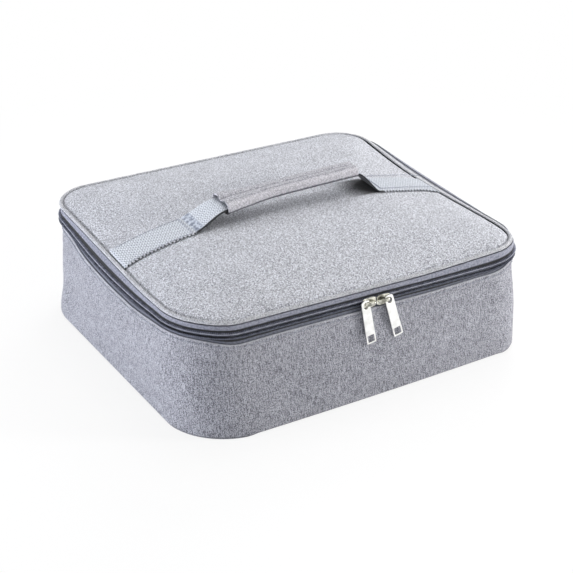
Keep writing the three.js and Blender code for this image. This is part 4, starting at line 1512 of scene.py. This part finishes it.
def joined(name, parts):
    """One smooth mesh object from several, which are removed."""
    whole = bmesh.new()
    for part in parts:
        whole.from_mesh(part.data)
        bpy.data.meshes.remove(part.data)
    mesh = bpy.data.meshes.new(name)
    whole.to_mesh(mesh)
    whole.free()
    mesh.polygons.foreach_set("use_smooth", np.full(len(mesh.polygons), True))
    while mesh.uv_layers:
        mesh.uv_layers.remove(mesh.uv_layers[0])
    return placed(name, mesh)


# %% Hardware sizes
slider_gap = 0.3 * mm
slider_meeting = 10.2 * mm
slider_length = 11.4 * mm
slider_half_width = 4.4 * mm
slider_tail_half = 3.6 * mm
slider_waist = 3.8 * mm
coil_depth = 1.6 * mm
plate_thickness = 1.0 * mm
bridge_thickness = 1.1 * mm
pull_thickness = 1.3 * mm
pull_length = 38 * mm
pull_eye_edge = 1.6 * mm
plate_face = tape_outer + clearance + coil_depth + clearance
plate_outer = plate_face + plate_thickness
inner_plate = tape_outer - tape_thickness - clearance - plate_thickness
bridge_spread = plate_outer + clearance + pull_thickness + clearance
bridge_middle = bridge_spread + bridge_thickness / 2
nose_inset = 1.8 * mm
foot_inset = 9.8 * mm
upward = np.array([0.0, 0.0, 1.0])

# %% Sliders


def slider(name, side, node):
    """One slider: side is 1 for the right one, whose head looks left, and -1 for the left one. It has an
    outer and an inner plate, a post between them, a lip along the coil, and the bridge for its pull."""
    along = np.array([side, 0.0, 0.0])
    head = slider_meeting + side * slider_gap

    def at(inset, spread, height=0.0):
        return np.array([head + side * inset, -half_depth - spread, chain_height + height])

    outline = [
        (0, -slider_tail_half), (slider_waist, -slider_half_width), (slider_length, -slider_tail_half),
        (slider_length, slider_tail_half), (slider_waist, slider_half_width), (0, slider_tail_half),
    ]
    rounded = rounded_outline(outline, np.array([2.2, 3.0, 1.6, 1.6, 3.0, 2.2]) * mm)
    parts = [
        plate(part, [rounded], plate_thickness, bevel, at(0, spread + plate_thickness / 2), along, upward)
        for part, bevel, spread in [("outer", 0.35 * mm, plate_face), ("inner", 0.3 * mm, inner_plate)]
    ]
    post_spreads = np.linspace(inner_plate, plate_face, 6) + plate_thickness / 2
    post = [at(2.7 * mm, spread) for spread in post_spreads]
    parts.append(swept("post", post, 3 * mm, 0.4 * mm, along))
    lip_spread = (tape_outer + clearance + plate_outer) / 2
    lip = [at(inset, lip_spread, -3.85 * mm) for inset in np.linspace(1.9 * mm, 7.6 * mm, 8)]
    parts.append(swept("lip", lip, 1.1 * mm, 2.9 * mm, upward))
    arch = spline([
        (nose_inset - 0.5 * mm, plate_face + 0.4 * mm), (nose_inset - 0.6 * mm, plate_face + 1.9 * mm),
        (nose_inset + 0.2 * mm, bridge_spread + 0.3 * mm), (nose_inset + 1.8 * mm, bridge_middle),
        ((nose_inset + foot_inset) / 2, bridge_middle + 0.05 * mm),
        (foot_inset - 1.2 * mm, bridge_middle), (foot_inset - 0.1 * mm, bridge_spread + 0.2 * mm),
        (foot_inset, plate_face + 1.9 * mm), (foot_inset, plate_face + 0.4 * mm),
    ], 44)
    widths = 1.5 * mm + 1.4 * mm * np.sin(np.pi * np.linspace(1, 0, len(arch))) ** 1.5
    parts.append(swept("bridge", [at(*point) for point in arch], widths, bridge_thickness, upward))
    dressed(joined(name, parts), node, shaded_slider_nickel, "nickel", node)


slider("left_slider_body", -1, "slider_left")
slider("right_slider_body", 1, "slider_right")
print("slider head gap in mm:", round(2 * slider_gap / mm, 2))

# %% Pulls
pull_half_top = 3.6 * mm
pull_half_bottom = 4.1 * mm
pull_top = math.hypot(1.6, 1.8) / 2 * mm + clearance + pull_eye_edge
pull_bottom = pull_top - pull_length
pull_spread = plate_outer + clearance + pull_thickness / 2
eye_half_width, eye_half_height = 2 * mm, 2.75 * mm
window_half, window_height = 2.7 * mm, 6 * mm


def zip_pull(name, side, tilt, node):
    """A flat pull hanging from the bridge's foot: an eye, a tab that widens, and a square window."""
    tab = rounded_outline(
        [(-pull_half_bottom, pull_bottom), (pull_half_bottom, pull_bottom),
         (pull_half_top, pull_top), (-pull_half_top, pull_top)],
        np.array([1.1, 1.1, 3.3, 3.3]) * mm, steps=10,
    )
    turn = full_turn(28)
    eye_middle = pull_top - pull_eye_edge - eye_half_height
    eye = np.stack([eye_half_width * np.cos(turn), eye_middle + eye_half_height * np.sin(turn)], -1)
    low = pull_bottom + 1.4 * mm
    high = low + window_height
    window = rounded_outline(
        [(-window_half, low), (window_half, low), (window_half, high), (-window_half, high)],
        [0.5 * mm] * 4, steps=5,
    )
    lean = math.radians(tilt)
    across = np.array([math.cos(lean), 0, math.sin(lean)])
    up = np.array([-math.sin(lean), 0, math.cos(lean)])
    pivot_x = slider_meeting + side * (slider_gap + foot_inset)
    place = np.array([pivot_x, -half_depth - pull_spread, chain_height])
    pull = plate(name, [tab, eye, window], pull_thickness, 0.3 * mm, place, across, up)
    dressed(pull, node, pull_nickel, "nickel", node)


zip_pull("left_pull_tab", side=-1, tilt=10.5, node="pull_left")
zip_pull("right_pull_tab", side=1, tilt=16, node="pull_right")

# %% [markdown]
# ## Floor, backdrop and light
# A pale floor under a white surround. Near the bag the floor takes its shadow, and further out it turns
# into the plain white of the surround, so that no horizon shows. One wide soft light hangs overhead and
# one stands behind on the right, a cool one stands on the left, and a smaller one at the front right
# puts the soft shadows of the pulls on the wall.

# %% Floor
white = (1, 1, 1, 1)


def floor_finish():
    """A white floor. A camera ray sees part of it as plain white, and all of it from far out."""
    finish = Finish("floor_white", Roughness=0.9, Base_Color=(0.93, 0.93, 0.93, 1))
    x, y, _ = finish.xyz()
    distance = (x * x + y * y).maths("POWER", 0.5)
    whiteness = 0.85 + distance.between(0.25, 0.55) * 0.15
    camera_ray = finish.node("ShaderNodeLightPath", None, None, "Is Camera Ray")
    glow = finish.node("ShaderNodeEmission", None, {"Color": white, "Strength": 1.0})
    inputs = {0: whiteness * camera_ray, 1: Wire(finish, finish.shader.outputs[0]), 2: glow}
    mixed = finish.node("ShaderNodeMixShader", None, inputs)
    finish.plug(finish.tree.nodes["Material Output"].inputs["Surface"], mixed)
    return finish.material


floor_half = 3.0
floor_corners = np.array([(-1, -1, 0), (1, -1, 0), (1, 1, 0), (-1, 1, 0)]) * floor_half
floor_mesh = bpy.data.meshes.new("floor_sheet")
floor_mesh.from_pydata(floor_corners.tolist(), [], [(0, 1, 2, 3)])
floor_mesh.materials.append(floor_finish())
placed("floor_sheet", floor_mesh)

# %% Lights and surround


def soft_light(name, place, target, size, power, colour):
    """A rectangular lamp aimed at a target, with its size in metres and its power in watts."""
    light = bpy.data.lights.new(name, "AREA")
    light.shape = "RECTANGLE"
    light.size, light.size_y = size
    light.energy = power
    light.color = colour
    aimed(placed(name, light), place, target)


soft_light("overhead_light", (0.4, 0.4, 1.7), (0, 0, 0), (1.1, 1.1), 13.0, (1.0, 0.99, 0.98))
soft_light("back_right_light", (0.75, 0.85, 0.95), (0, 0, 0.1), (0.5, 0.5), 6.5, (0.98, 0.99, 1.0))
soft_light("left_light", (-1.45, 0.3, 0.14), (0, 0, 0.05), (1.0, 0.26), 19.6, (0.90, 0.93, 1.0))
soft_light("front_right_light", (0.85, -0.65, 0.35), (0.1, 0, 0.05), (0.2, 0.2), 8.0, (1.0, 0.99, 0.97))


def studio_world():
    """White where the camera or a reflection looks, and a plain soft light for everything else."""
    world = bpy.data.worlds.new("studio_world")
    world.use_nodes = True
    nodes = Nodes(world.node_tree)
    soft = nodes.tree.nodes["Background"]
    nodes.plug(soft.inputs["Color"], (0.97, 0.98, 1, 1))
    nodes.plug(soft.inputs["Strength"], 0.44)
    seen = nodes.node("ShaderNodeBackground", None, {"Color": white, "Strength": 1.0})
    camera_ray = nodes.node("ShaderNodeLightPath", None, None, "Is Camera Ray")
    glossy_ray = nodes.node("ShaderNodeLightPath", None, None, "Is Glossy Ray")
    inputs = {0: camera_ray.maths("MAXIMUM", glossy_ray), 1: Wire(nodes, soft.outputs[0]), 2: seen}
    choice = nodes.node("ShaderNodeMixShader", None, inputs)
    nodes.plug(nodes.tree.nodes["World Output"].inputs["Surface"], choice)
    bpy.context.scene.world = world


studio_world()
bpy.context.scene.view_settings.view_transform = "Standard"
print("lights:", [light.name for light in bpy.data.lights])
